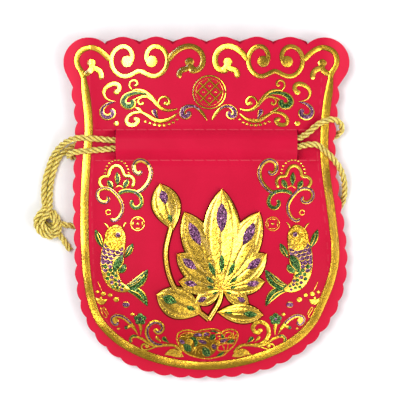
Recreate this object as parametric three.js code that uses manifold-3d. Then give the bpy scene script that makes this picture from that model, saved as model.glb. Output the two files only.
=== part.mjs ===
// A drawstring lucky-money pouch of two scalloped card panels, lying on its back.
// Millimetres: +X to the right of the front, +Y to the mouth, +Z out of the front, which faces up.
import * as THREE from "three";
import { mergeVertices } from "three/addons/utils/BufferGeometryUtils.js";
import Module from "manifold-3d";

const wasm = await Module();
wasm.setup();

const { smoothstep, degToRad } = THREE.MathUtils;

// The card and how far it puffs out
const WALL = 1.0; // thickness of a panel
const GAP = 0.3; // clearance between pieces that touch
const BACK_RIM_Z = 3.9; // middle of the back panel's wall along its rim
const FRONT_RIM_Z = BACK_RIM_Z + WALL + GAP;
const FRONT_PUFF = 5.0; // rise of the front above its rim
const BACK_SAG = 4.6; // fall of the back's belly, which the surface under it stops
const BACK_SAG_END = { from: 4, to: 17 }; // heights on the pouch over which the back's belly fades out
const SEAM_SHARE = 0.87; // the seam's place, as a share of the half width

// Side edges: half widths at the notches between the scallops
const SIDES = [
  { y: 50.5, left: 56.1, right: 55.1 },
  { y: 36.5, left: 54.2, right: 53.8 },
  { y: 25.0, left: 54.4, right: 53.1 },
  { y: 8.0, left: 55.2, right: 54.8 },
  { y: -6.0, left: 54.9, right: 56.9 },
  { y: -20.0, left: 54.4, right: 58.4 },
];
const BELLY = { y: -20.0, drop: 50.7, left: 2.6, right: 2.25 }; // superellipse powers of the round bottom
const SIDE_LOBES = { count: 21, rise: 1.1, steps: 4 };
const TOP_LOBES = { count: 6, rise: 3.2, steps: 6, y: 68.3, halfWidth: 42.1 };
const CORNER = { x: 49.6, y: 61.0, radius: 10.5, from: 44, to: 208, steps: 11 }; // left corner, degrees
const BACK_NOTCH_LIFT = 1.6; // the back's top notches are shallower by this

// The belt across each panel, which the cords pass behind, and the slit at each end of it
const BELT = { y: 26.25, halfLength: 38.0, rise: 3.4, crown: 2.2, foot: 8.5 };
const SLIT = { width: 0.8, halfHeight: 6.25, blend: 1.2 };
const FLAP = { dip: 1.2, reach: 47.0 }; // the card outside a slit dips, out to here
const UNCUT = { from: 33.0, to: 45.0 }; // above and below a slit the belt's rise fades over this

// Raised ornament on the front
const RELIEF = 1.4;
const PETAL = { steps: 7, lean: 1.15, fullness: 0.7 }; // lean above 1 puts the widest part past the middle
const STALK = { width: 3.0, steps: 10 };

// Drawstrings
const CORD = { diameter: 2.7, sides: 8 };
const KNOT = { x: -67.0, y: -6.4, z: 4.1, spanX: 11.6, spanY: 13.2, spanZ: 8.0, strand: 2.3, core: 3.4 };
const KNOT_THIRD = { steps: 7, overlap: 1.06 }; // the knot's three lobes run a little into each other
const TREFOIL_REACH = 2.6; // largest value of sin a + 2 sin 2a

const cardRed = { color: 0xd8203f, roughness: 0.8, metalness: 0.0 };
const foilGold = { color: 0xc9962f, roughness: 0.35, metalness: 1.0 };
const cordGold = { color: 0xd0ad5a, roughness: 0.6, metalness: 0.2 };

// Lines of the grid that the panels are laid on, close together where the card bends
const HALF_LINES_X = [9, 18, 27, 33, BELT.halfLength, BELT.halfLength + SLIT.width, 42.5, 47, 51, 57, 63];
const LINES_X = [...HALF_LINES_X.map((x) => -x).reverse(), 0, ...HALF_LINES_X];
const LINES_BELOW_BELT = [-74, -66, -60, -54, -46, -37, -28, -18, -8, 1, 7, 12, 17];
const LINES_ON_BELT = [-6.25, -4.25, -2.25, 0, 2.25, 4.25, 6.25].map((off) => BELT.y + off);
const LINES_ABOVE_BELT = [35, 42, 52, 62, 74];
const LINES_Y = [...LINES_BELOW_BELT, ...LINES_ON_BELT, ...LINES_ABOVE_BELT];
const SIDE_SAMPLES = 80; // points on each half of a side line, before it is divided into lobes
const CUT_DEPTH = 60; // longer than the pouch is thick

// Smooth curve through a table's rows, from top to bottom
function alongRows(rows, key, y) {
  const last = rows.length - 1;
  if (y >= rows[0].y) return rows[0][key];
  if (y <= rows[last].y) return rows[last][key];
  const i = rows.findIndex((row) => row.y <= y) - 1;
  const slope = (k) => {
    const a = rows[Math.max(k - 1, 0)];
    const b = rows[Math.min(k + 1, last)];
    return (b[key] - a[key]) / (b.y - a.y);
  };
  const span = rows[i + 1].y - rows[i].y;
  const t = (y - rows[i].y) / span;
  const rise = (1 - t) ** 2 * ((1 + 2 * t) * rows[i][key] + t * span * slope(i));
  return rise + t ** 2 * ((3 - 2 * t) * rows[i + 1][key] + (t - 1) * span * slope(i + 1));
}

// One side of the notch line, from the corner lobe down to the bottom's middle
function sideLine(side) {
  const sign = side === "left" ? -1 : 1;
  const line = [];
  for (let i = 0; i < SIDE_SAMPLES; i++) {
    const y = THREE.MathUtils.lerp(SIDES[0].y, BELLY.y, i / SIDE_SAMPLES);
    line.push(new THREE.Vector2(sign * alongRows(SIDES, side, y), y));
  }
  const halfWidth = alongRows(SIDES, side, BELLY.y);
  for (let i = 0; i <= SIDE_SAMPLES; i++) {
    const angle = (i / SIDE_SAMPLES) * (Math.PI / 2);
    const x = halfWidth * Math.cos(angle) ** (2 / BELLY[side]);
    const y = BELLY.y - BELLY.drop * Math.sin(angle) ** (2 / BELLY[side]);
    line.push(new THREE.Vector2(i === SIDE_SAMPLES ? 0 : sign * x, y));
  }
  return line;
}

// Points at equal distances along a line
function evenly(line, parts) {
  const reach = [0];
  for (let i = 1; i < line.length; i++) reach.push(reach[i - 1] + line[i].distanceTo(line[i - 1]));
  const points = [];
  for (let k = 0; k <= parts; k++) {
    const want = (reach[reach.length - 1] * k) / parts;
    const i = Math.min(Math.max(reach.findIndex((r) => r >= want - 1e-9), 1), line.length - 1);
    points.push(line[i - 1].clone().lerp(line[i], (want - reach[i - 1]) / (reach[i] - reach[i - 1])));
  }
  return points;
}

// Round lobes between notches given in anticlockwise order, without the last notch
function lobes(notches, rise, steps) {
  const points = [];
  for (let i = 0; i + 1 < notches.length; i++) {
    const along = notches[i + 1].clone().sub(notches[i]);
    const out = new THREE.Vector2(along.y, -along.x).normalize();
    for (let k = 0; k < steps; k++) {
      const t = k / steps;
      const bulge = out.clone().multiplyScalar(4 * rise * t * (1 - t));
      points.push(notches[i].clone().addScaledVector(along, t).add(bulge));
    }
  }
  return points;
}

function cornerLobe(sign, fromAngle, toAngle) {
  const points = [];
  for (let k = 0; k <= CORNER.steps; k++) {
    const angle = degToRad(THREE.MathUtils.lerp(fromAngle, toAngle, k / CORNER.steps));
    const x = sign * CORNER.x + CORNER.radius * Math.cos(angle);
    points.push(new THREE.Vector2(x, CORNER.y + CORNER.radius * Math.sin(angle)));
  }
  return points;
}

// The scalloped outline, anticlockwise from the bottom's middle
function outline(notchLift) {
  const right = evenly(sideLine("right"), SIDE_LOBES.count).reverse();
  const left = evenly(sideLine("left"), SIDE_LOBES.count);
  const top = [];
  for (let k = 0; k <= TOP_LOBES.count; k++) {
    const x = TOP_LOBES.halfWidth * (1 - (2 * k) / TOP_LOBES.count);
    top.push(new THREE.Vector2(x, TOP_LOBES.y + notchLift));
  }
  return [
    ...lobes(right, SIDE_LOBES.rise, SIDE_LOBES.steps),
    right[right.length - 1],
    ...cornerLobe(1, 180 - CORNER.to, 180 - CORNER.from).slice(0, -1),
    ...lobes(top, TOP_LOBES.rise - notchLift, TOP_LOBES.steps),
    top[top.length - 1],
    ...cornerLobe(-1, CORNER.from, CORNER.to).slice(1),
    ...lobes(left, SIDE_LOBES.rise, SIDE_LOBES.steps),
  ];
}

// 0 on the middle line and 1 on the notch line
function edgeShare(x, y) {
  const side = x < 0 ? "left" : "right";
  const across = Math.abs(x) / alongRows(SIDES, side, y);
  if (y >= BELLY.y) return across;
  const power = BELLY[side];
  return (across ** power + ((BELLY.y - y) / BELLY.drop) ** power) ** (1 / power);
}

const puff = (x, y) => Math.max(0, 1 - (edgeShare(x, y) / SEAM_SHARE) ** 4);

// How far the belt stands out of its panel, and the card outside its slits dips
function beltLift(x, y) {
  const off = Math.abs(y - BELT.y);
  const reach = Math.abs(x);
  const arch = 1 - smoothstep(off, BELT.crown, BELT.foot);
  const cut = 1 - smoothstep(off, SLIT.halfHeight - SLIT.blend, SLIT.halfHeight);
  const flap = -FLAP.dip * (1 - smoothstep(reach, BELT.halfLength, FLAP.reach));
  const atSlit = reach <= BELT.halfLength ? BELT.rise : flap;
  const uncut = BELT.rise * (1 - smoothstep(reach, UNCUT.from, UNCUT.to));
  return arch * (cut * atSlit + (1 - cut) * uncut);
}

const frontZ = (x, y) => FRONT_RIM_Z + FRONT_PUFF * puff(x, y) + beltLift(x, y);

function backZ(x, y) {
  const sag = BACK_SAG * puff(x, y) * (1 - smoothstep(y, BACK_SAG_END.from, BACK_SAG_END.to));
  return Math.max(WALL / 2, BACK_RIM_Z - sag - beltLift(x, y));
}

const solidOf = (geometry) => {
  const bare = geometry.clone();
  bare.deleteAttribute("normal");
  bare.deleteAttribute("uv");
  const merged = mergeVertices(bare, 1e-4);
  const vertProperties = merged.attributes.position.array;
  const triVerts = new Uint32Array(merged.index.array);
  return new wasm.Manifold(new wasm.Mesh({ numProp: 3, vertProperties, triVerts }));
};

const geometryOf = (solid) => {
  const { vertProperties, triVerts } = solid.getMesh();
  const geometry = new THREE.BufferGeometry();
  geometry.setAttribute("position", new THREE.BufferAttribute(vertProperties, 3));
  geometry.setIndex(new THREE.BufferAttribute(triVerts, 1));
  geometry.computeVertexNormals();
  return geometry;
};

// A sheet on the grid lines, between two heights
function sheet(lowZ, highZ) {
  const columns = LINES_X.length;
  const layer = columns * LINES_Y.length;
  const positions = [];
  for (const height of [lowZ, highZ]) {
    for (const y of LINES_Y) {
      for (const x of LINES_X) positions.push(x, y, height(x, y));
    }
  }
  const faces = [];
  const quad = (a, b, c, d) => faces.push(a, b, c, a, c, d);
  const at = (i, j) => j * columns + i;
  for (let j = 0; j + 1 < LINES_Y.length; j++) {
    for (let i = 0; i + 1 < columns; i++) {
      const ring = [at(i, j), at(i + 1, j), at(i + 1, j + 1), at(i, j + 1)];
      quad(...ring.map((v) => v + layer));
      quad(...ring.reverse());
    }
  }
  const rim = [];
  for (let i = 0; i + 1 < columns; i++) rim.push(at(i, 0));
  for (let j = 0; j + 1 < LINES_Y.length; j++) rim.push(at(columns - 1, j));
  for (let i = columns - 1; i > 0; i--) rim.push(at(i, LINES_Y.length - 1));
  for (let j = LINES_Y.length - 1; j > 0; j--) rim.push(at(0, j));
  rim.forEach((v, k) => {
    const next = rim[(k + 1) % rim.length];
    quad(v, next, next + layer, v + layer);
  });
  const geometry = new THREE.BufferGeometry();
  geometry.setAttribute("position", new THREE.Float32BufferAttribute(positions, 3));
  geometry.setIndex(faces);
  return solidOf(geometry);
}

// A cutter with this outline, as deep as any piece
function prism(points) {
  const geometry = new THREE.ExtrudeGeometry(new THREE.Shape(points), {
    depth: CUT_DEPTH,
    bevelEnabled: false,
    steps: 1,
  });
  geometry.translate(0, 0, -CUT_DEPTH / 2);
  return solidOf(geometry);
}

function panel(heightAt, notchLift) {
  const wall = sheet(
    (x, y) => heightAt(x, y) - WALL / 2,
    (x, y) => heightAt(x, y) + WALL / 2,
  );
  let cut = wall.intersect(prism(outline(notchLift)));
  for (const sign of [-1, 1]) {
    const slit = new THREE.BoxGeometry(SLIT.width, 2 * SLIT.halfHeight, CUT_DEPTH);
    slit.translate(sign * (BELT.halfLength + SLIT.width / 2), BELT.y, 0);
    cut = cut.subtract(solidOf(slit));
  }
  return geometryOf(cut);
}

// Outlines of the ornament: a lotus in bloom with its bud and leaves
const BLOOM = { x: 6.4, y: -34.0 };
const PETALS = [
  { angle: 0, length: 42, width: 17 },
  { angle: 26, length: 36, width: 15 },
  { angle: -26, length: 36, width: 15 },
  { angle: 52, length: 24, width: 12.5 },
  { angle: -52, length: 24, width: 12.5 },
  { angle: 80, length: 18.5, width: 9.5 },
  { angle: -80, length: 18.5, width: 9.5 },
  { angle: 118, length: 13, width: 8 },
  { angle: -118, length: 13, width: 8 },
];
const LEAVES = [
  { x: -13.6, y: -9.5, angle: -17, length: 20.5, width: 13 }, // bud
  { x: -1.5, y: -44.0, angle: -68, length: 21, width: 14.5 },
  { x: 4.0, y: -43.5, angle: 94, length: 20, width: 9.5 },
];
const STALKS = [
  [[6.4, -31], [5.6, -38.5], [1.0, -46.8]],
  [[-14.4, -6.5], [-17.0, -20], [-13.0, -34], [1.0, -46.8]],
];

// A pointed oval from its foot, turned clockwise from +Y
function petalShape({ x, y, angle, length, width }) {
  const half = [];
  for (let k = 1; k < PETAL.steps; k++) {
    const t = k / PETAL.steps;
    const across = (width / 2) * Math.sin(Math.PI * t ** PETAL.lean) ** PETAL.fullness;
    half.push({ along: length * t, across });
  }
  const turn = degToRad(-angle);
  const place = (across, along) => new THREE.Vector2(across, along).rotateAround(new THREE.Vector2(), turn);
  const ring = [
    place(0, 0),
    ...half.map(({ along, across }) => place(across, along)),
    place(0, length),
    ...half.map(({ along, across }) => place(-across, along)).reverse(),
  ];
  return ring.map((p) => p.add(new THREE.Vector2(x, y)));
}

function stalkShape(points) {
  const curve = new THREE.SplineCurve(points.map(([x, y]) => new THREE.Vector2(x, y)));
  const edge = (side) => {
    const line = [];
    for (let k = 0; k <= STALK.steps; k++) {
      const along = curve.getTangent(k / STALK.steps);
      const out = new THREE.Vector2(along.y, -along.x).multiplyScalar((side * STALK.width) / 2);
      line.push(curve.getPoint(k / STALK.steps).add(out));
    }
    return line;
  };
  return [...edge(1), ...edge(-1).reverse()];
}

function ornament() {
  const shapes = [
    ...PETALS.map((petal) => petalShape({ ...BLOOM, ...petal })),
    ...LEAVES.map(petalShape),
    ...STALKS.map(stalkShape),
  ];
  const cutter = shapes.map(prism).reduce((whole, one) => whole.add(one));
  const foot = (x, y) => frontZ(x, y) + WALL / 2 + GAP;
  return geometryOf(sheet(foot, (x, y) => foot(x, y) + RELIEF).intersect(cutter));
}

// A route whose steps fall on its own points
class Route extends THREE.CatmullRomCurve3 {
  getUtoTmapping(u) {
    return u;
  }
}

// A round tube along a curve
function tube(curve, radius, steps) {
  const ring = [];
  for (let k = 0; k < CORD.sides; k++) {
    const angle = (k / CORD.sides) * 2 * Math.PI;
    ring.push(new THREE.Vector2(radius * Math.cos(angle), radius * Math.sin(angle)));
  }
  return new THREE.ExtrudeGeometry(new THREE.Shape(ring), { extrudePath: curve, steps, bevelEnabled: false });
}

const routeOf = (rows) => new Route(rows.map(([x, y, z]) => new THREE.Vector3(x, y, z)));
const cordAlong = (rows, extra = 0) => tube(routeOf(rows), CORD.diameter / 2 + extra, rows.length - 1);

// From the knot over the left rim and behind the front belt, then round the right rim
// and behind the back belt to the knot again
const LEFT_CORD = [
  [-68.0, -0.1, 3.4],
  [-68.6, 5.0, 1.6],
  [-68.4, 11.0, 1.5],
  [-67.4, 17.0, 1.5],
  [-65.6, 22.4, 1.8],
  [-62.6, 26.0, 3.2],
  [-58.8, 28.2, 5.6],
  [-54.4, 29.2, 7.3],
  [-49.4, 29.1, 7.7],
  [-44.0, 28.7, 8.3],
  [-38.4, 28.2, 9.1],
  [-33.0, 28.2, 9.9],
  [-12.0, 28.5, 11.2],
  [12.0, 28.7, 11.1],
  [33.0, 28.9, 9.7],
  [38.4, 29.1, 8.8],
  [42.5, 31.2, 8.9],
  [46.4, 34.6, 8.0],
  [50.2, 36.6, 7.7],
  [54.0, 36.9, 7.6],
  [57.0, 35.3, 6.0],
  [57.6, 32.9, 3.9],
  [55.9, 30.7, 2.1],
  [52.4, 29.2, 1.6],
  [47.0, 28.3, 1.8],
  [42.0, 28.0, 2.3],
  [38.4, 28.0, 2.8],
  [33.0, 28.0, 2.9],
  [-33.0, 28.0, 2.9],
  [-38.4, 28.0, 2.8],
  [-42.0, 28.0, 2.3],
  [-47.0, 27.7, 1.8],
  [-52.4, 27.3, 1.6],
  [-57.2, 25.6, 1.5],
  [-61.0, 22.2, 1.5],
  [-63.4, 17.0, 1.5],
  [-64.8, 11.0, 1.5],
  [-65.6, 5.4, 1.6],
  [-66.0, 0.1, 3.0],
];

// From under the right rim and behind the back belt, then round the left rim
// and behind the front belt to a loop round the right rim
const RIGHT_CORD = [
  [51.4, 2.4, 1.5],
  [50.6, 8.0, 1.5],
  [49.6, 14.0, 1.6],
  [47.6, 19.4, 1.5],
  [42.8, 23.2, 1.9],
  [38.4, 24.5, 2.8],
  [33.0, 24.5, 2.9],
  [-33.0, 24.5, 2.9],
  [-38.4, 24.5, 2.8],
  [-42.4, 23.9, 2.0],
  [-47.4, 22.6, 1.8],
  [-52.6, 21.6, 1.6],
  [-56.9, 21.3, 2.2],
  [-58.1, 21.9, 4.4],
  [-57.0, 22.9, 6.7],
  [-52.6, 23.6, 7.7],
  [-48.4, 24.0, 7.8],
  [-43.4, 24.4, 8.4],
  [-38.4, 24.8, 9.1],
  [-33.0, 24.9, 9.9],
  [-12.0, 25.1, 11.2],
  [12.0, 25.3, 11.2],
  [33.0, 25.5, 9.9],
  [38.4, 25.6, 9.0],
  [42.6, 26.4, 8.6],
  [46.6, 26.2, 7.9],
  [50.0, 23.6, 7.8],
  [53.0, 20.6, 7.6],
  [55.8, 16.8, 6.8],
  [57.6, 12.4, 5.2],
  [58.2, 8.0, 3.2],
  [57.9, 4.0, 1.8],
  [56.4, 0.6, 1.5],
  [53.8, -0.6, 1.5],
];
const UPPER_TAIL = [
  [-61.4, -7.0, 2.0],
  [-58.6, -7.4, 1.6],
  [-55.0, -8.0, 1.5],
  [-51.0, -9.2, 1.5],
];
const LOWER_TAIL = [
  [-63.3, -9.5, 2.6],
  [-61.6, -11.9, 1.8],
  [-59.6, -14.8, 1.5],
  [-57.4, -18.1, 1.5],
];

// One third of the knot's three-lobed turn, run a little past its end so that the thirds join
class KnotThird extends THREE.Curve {
  constructor(index) {
    super();
    this.index = index;
  }
  getPoint(t, target = new THREE.Vector3()) {
    const angle = ((this.index + t * KNOT_THIRD.overlap) / 3) * 2 * Math.PI;
    const reachX = (KNOT.spanX / 2 - KNOT.strand) / TREFOIL_REACH;
    const reachY = (KNOT.spanY / 2 - KNOT.strand) / TREFOIL_REACH;
    return target.set(
      KNOT.x + reachX * (Math.sin(angle) + 2 * Math.sin(2 * angle)),
      KNOT.y + reachY * (Math.cos(angle) - 2 * Math.cos(2 * angle)),
      KNOT.z - (KNOT.spanZ / 2 - KNOT.strand) * Math.sin(3 * angle),
    );
  }
}

function knot() {
  const thirds = [0, 1, 2].map((i) => solidOf(tube(new KnotThird(i), KNOT.strand, KNOT_THIRD.steps)));
  const core = new THREE.SphereGeometry(KNOT.core, 10, 7).translate(KNOT.x, KNOT.y, KNOT.z);
  const whole = thirds.reduce((sum, one) => sum.add(one), solidOf(core));
  const passages = [LEFT_CORD, UPPER_TAIL, LOWER_TAIL].map((rows) => solidOf(cordAlong(rows, GAP)));
  return geometryOf(passages.reduce((rest, one) => rest.subtract(one), whole));
}

const pouch = new THREE.Group();
const add = (name, geometry, look) => {
  const mesh = new THREE.Mesh(geometry, new THREE.MeshStandardMaterial(look));
  mesh.name = name;
  pouch.add(mesh);
};

add("front_panel", panel(frontZ, 0), cardRed);
add("back_panel", panel(backZ, BACK_NOTCH_LIFT), cardRed);
add("front_ornament", ornament(), foilGold);
add("left_cord", cordAlong(LEFT_CORD), cordGold);
add("right_cord", cordAlong(RIGHT_CORD), cordGold);
add("cord_knot", knot(), cordGold);
add("upper_tail", cordAlong(UPPER_TAIL), cordGold);
add("lower_tail", cordAlong(LOWER_TAIL), cordGold);

// The origin is under the middle of the panels
const frame = new THREE.Box3();
for (const name of ["front_panel", "back_panel", "front_ornament"]) {
  frame.expandByObject(pouch.getObjectByName(name), true);
}
const middle = frame.getCenter(new THREE.Vector3());
pouch.children.forEach((mesh) => mesh.position.set(-middle.x, -middle.y, -frame.min.z));

export default pouch;
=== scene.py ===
# Festive card pouch: two scalloped panels, gold foil print, a raised lotus and twisted drawstrings.
# All sizes are millimetres unless a note says otherwise; meshes are scaled to metres when they are made.
import math

import bpy
import numpy as np
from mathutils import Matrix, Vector
from mathutils.geometry import delaunay_2d_cdt


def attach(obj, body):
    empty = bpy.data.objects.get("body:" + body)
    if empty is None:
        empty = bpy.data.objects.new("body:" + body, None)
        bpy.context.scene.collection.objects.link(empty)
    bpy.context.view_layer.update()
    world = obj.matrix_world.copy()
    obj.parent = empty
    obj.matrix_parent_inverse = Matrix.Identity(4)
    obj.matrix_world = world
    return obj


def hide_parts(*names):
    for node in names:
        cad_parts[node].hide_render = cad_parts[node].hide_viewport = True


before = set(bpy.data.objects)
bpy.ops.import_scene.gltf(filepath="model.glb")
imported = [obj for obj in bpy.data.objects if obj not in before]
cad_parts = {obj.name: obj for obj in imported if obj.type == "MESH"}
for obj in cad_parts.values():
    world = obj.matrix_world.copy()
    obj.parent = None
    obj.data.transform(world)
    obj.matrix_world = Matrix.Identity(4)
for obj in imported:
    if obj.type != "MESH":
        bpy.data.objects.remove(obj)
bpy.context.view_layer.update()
mm = 0.001
print("frame loaded:", len(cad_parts), "parts")


# Camera straight above the pouch
shot = {
    "centre": (-2.7, 3.2),
    "height": 906.0,
    "subjectHeight": 6.0,
    "fieldWidth": 168.0,  # what the picture takes in at the subject's height
    "sensor": 36.0,
    "farClip": 20.0,  # metres
}


def addCamera():
    data = bpy.data.cameras.new("shotCamera")
    data.sensor_width = shot["sensor"]
    data.lens = shot["sensor"] * (shot["height"] - shot["subjectHeight"]) / shot["fieldWidth"]
    data.clip_end = shot["farClip"]
    camera = bpy.data.objects.new("shotCamera", data)
    camera.location = (shot["centre"][0] * mm, shot["centre"][1] * mm, shot["height"] * mm)
    bpy.context.scene.collection.objects.link(camera)
    bpy.context.scene.camera = camera


addCamera()
print("camera set")


# Small helpers for curves and meshes
def ease(value, low, high):
    t = np.clip((value - low) / (high - low), 0.0, 1.0)
    return t * t * (3.0 - 2.0 * t)


def unit(vectors):
    size = np.linalg.norm(vectors, axis=-1, keepdims=True)
    return vectors / np.maximum(size, 1e-9)


def lengthsAlong(line):
    steps = np.linalg.norm(np.diff(line, axis=0), axis=1)
    return np.concatenate([[0.0], np.cumsum(steps)])


def evenSteps(line, count):
    reach = lengthsAlong(line)
    stops = np.linspace(0.0, reach[-1], count)
    return np.stack([np.interp(stops, reach, column) for column in line.T], axis=1)


# A smooth line through points, with even steps along it
def smoothLine(points, step, perSpan=16):
    p = np.array(points, float)
    p = np.vstack([2 * p[0] - p[1], p, 2 * p[-1] - p[-2]])
    t = np.linspace(0.0, 1.0, perSpan, endpoint=False)[:, None]
    pieces = []
    for a, b, c, d in zip(p[:-3], p[1:-2], p[2:-1], p[3:]):
        ab, bc, cd = [max(np.linalg.norm(v), 1e-3) ** 0.5 for v in (b - a, c - b, d - c)]
        leave = ((b - a) / ab - (c - a) / (ab + bc) + (c - b) / bc) * bc
        arrive = ((c - b) / bc - (d - b) / (bc + cd) + (d - c) / cd) * bc
        start = (2 * t**3 - 3 * t**2 + 1) * b + (t**3 - 2 * t**2 + t) * leave
        pieces.append(start + (3 * t**2 - 2 * t**3) * c + (t**3 - t**2) * arrive)
    fine = np.vstack([*pieces, p[-2:-1]])
    count = max(4, math.ceil(lengthsAlong(fine)[-1] / step) + 1)
    return evenSteps(fine, count)


def addPiece(name, verts, faces, finishes, finishOf=None, sharpAngle=40.0):
    mesh = bpy.data.meshes.new(name)
    mesh.from_pydata((np.asarray(verts) * mm).tolist(), [], faces)
    for finish in finishes:
        mesh.materials.append(finish)
    if finishOf is not None:
        mesh.polygons.foreach_set("material_index", np.asarray(finishOf, np.int32))
    mesh.shade_smooth()
    mesh.set_sharp_from_angle(angle=math.radians(sharpAngle))
    mesh.update()
    piece = bpy.data.objects.new(name, mesh)
    bpy.context.scene.collection.objects.link(piece)
    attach(piece, "root")
    return piece


# A number on each point of a mesh, for its finish to read
def layTone(mesh, name, values):
    tone = mesh.attributes.new(name, "FLOAT", "POINT")
    tone.data.foreach_set("value", np.asarray(values, np.float32))


# Helpers for finishes
def startFinish(name):
    finish = bpy.data.materials.new(name)
    finish.use_nodes = True
    tree = finish.node_tree
    return finish, tree, tree.nodes["Principled BSDF"]


def addNode(tree, kind, **sockets):
    node = tree.nodes.new(kind)
    for socket, value in sockets.items():
        node.inputs[socket.replace("_", " ")].default_value = value
    return node


def noiseAt(tree, place, scale, detail=2.0, roughness=0.5):
    noise = addNode(tree, "ShaderNodeTexNoise", Scale=scale, Detail=detail, Roughness=roughness)
    tree.links.new(place, noise.inputs["Vector"])
    return noise.outputs["Fac"]


def rampOf(tree, source, stops):
    ramp = tree.nodes.new("ShaderNodeValToRGB")
    for at, colour in stops[2:]:
        ramp.color_ramp.elements.new(at)
    for element, (at, colour) in zip(ramp.color_ramp.elements, stops):
        element.position = at
        element.color = (*colour, 1.0)
    tree.links.new(source, ramp.inputs["Fac"])
    return ramp.outputs["Color"]


def rangeOf(tree, source, low, high):
    node = addNode(tree, "ShaderNodeMapRange", To_Min=low, To_Max=high)
    tree.links.new(source, node.inputs["Value"])
    return node.outputs["Result"]


def bumpOf(tree, height, strength, distance, under=None):
    bump = addNode(tree, "ShaderNodeBump", Strength=strength, Distance=distance)
    tree.links.new(height, bump.inputs["Height"])
    if under is not None:
        tree.links.new(under, bump.inputs["Normal"])
    return bump.outputs["Normal"]


def mixOf(tree, share, first, second, blend="MIX"):
    mix = tree.nodes.new("ShaderNodeMix")
    mix.data_type = "RGBA"
    mix.blend_type = blend
    tree.links.new(share, mix.inputs["Factor"])
    tree.links.new(first, mix.inputs["A"])
    if isinstance(second, tuple):
        mix.inputs["B"].default_value = (*second, 1.0)
    else:
        tree.links.new(second, mix.inputs["B"])
    return mix.outputs["Result"]


def attributeOf(tree, name):
    node = tree.nodes.new("ShaderNodeAttribute")
    node.attribute_name = name
    return node.outputs["Fac"]


# Each grain of a finish is a small facet with a lean of its own
def grainNormal(tree, place, look, under):
    cells = addNode(tree, "ShaderNodeTexVoronoi", Scale=look["grain"])
    tree.links.new(place, cells.inputs["Vector"])
    lean = tree.nodes.new("ShaderNodeVectorMath")
    lean.operation = "MULTIPLY_ADD"
    lean.inputs[1].default_value = (look["tilt"],) * 3
    lean.inputs[2].default_value = (-look["tilt"] / 2,) * 3
    tree.links.new(cells.outputs["Color"], lean.inputs[0])
    both = tree.nodes.new("ShaderNodeVectorMath")
    tree.links.new(under, both.inputs[0])
    tree.links.new(lean.outputs["Vector"], both.inputs[1])
    even = tree.nodes.new("ShaderNodeVectorMath")
    even.operation = "NORMALIZE"
    tree.links.new(both.outputs["Vector"], even.inputs[0])
    return even.outputs["Vector"]


# Finishes: scales are per metre, and depths of bumps are metres
redCard = {
    "deep": (0.52, 0.0016, 0.031),
    "light": (0.56, 0.0026, 0.036),
    # colours of a painted sheen on the flat rim, paler and pinker than the middle
    "sheenRimDeep": (0.65, 0.014, 0.048),
    "sheenRimLight": (0.69, 0.020, 0.055),
    "scored": (0.66, 0.12, 0.14),  # the paler core of the card shows where it is scored
    "lowShade": (0.82, 0.30, 0.62),  # painted shade: tint that darkens the card towards the bottom of the pouch
    "cloudScale": 70.0,
    "cloudSpan": (0.35, 0.65),  # the clouds run from deep to light over these levels
    "fibreScale": 2600.0,
    "fibreStrength": 0.10,
    "fibreDepth": 0.0001,
    "rough": (0.46, 0.60),
    "gloss": 0.12,
}


def redCardFinish():
    finish, tree, shader = startFinish("redCard")
    place = tree.nodes.new("ShaderNodeTexCoord").outputs["Object"]
    clouds = noiseAt(tree, place, redCard["cloudScale"], detail=3.0)
    fibres = noiseAt(tree, place, redCard["fibreScale"], detail=3.0, roughness=0.6)
    low, high = redCard["cloudSpan"]
    middle = rampOf(tree, clouds, [(low, redCard["deep"]), (high, redCard["light"])])
    # painted sheen: the rim's colours are mixed in over the flat rim
    rim = rampOf(tree, clouds, [(low, redCard["sheenRimDeep"]), (high, redCard["sheenRimLight"])])
    shade = mixOf(tree, attributeOf(tree, "rimSheen"), middle, rim)
    # painted shade: the card darkens towards the bottom of the pouch
    shade = mixOf(tree, attributeOf(tree, "lowShade"), shade, redCard["lowShade"], "MULTIPLY")
    shade = mixOf(tree, attributeOf(tree, "scored"), shade, redCard["scored"])
    normal = bumpOf(tree, fibres, redCard["fibreStrength"], redCard["fibreDepth"])
    tree.links.new(shade, shader.inputs["Base Color"])
    tree.links.new(rangeOf(tree, fibres, *redCard["rough"]), shader.inputs["Roughness"])
    tree.links.new(normal, shader.inputs["Normal"])
    shader.inputs["Specular IOR Level"].default_value = redCard["gloss"]
    return finish


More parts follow.
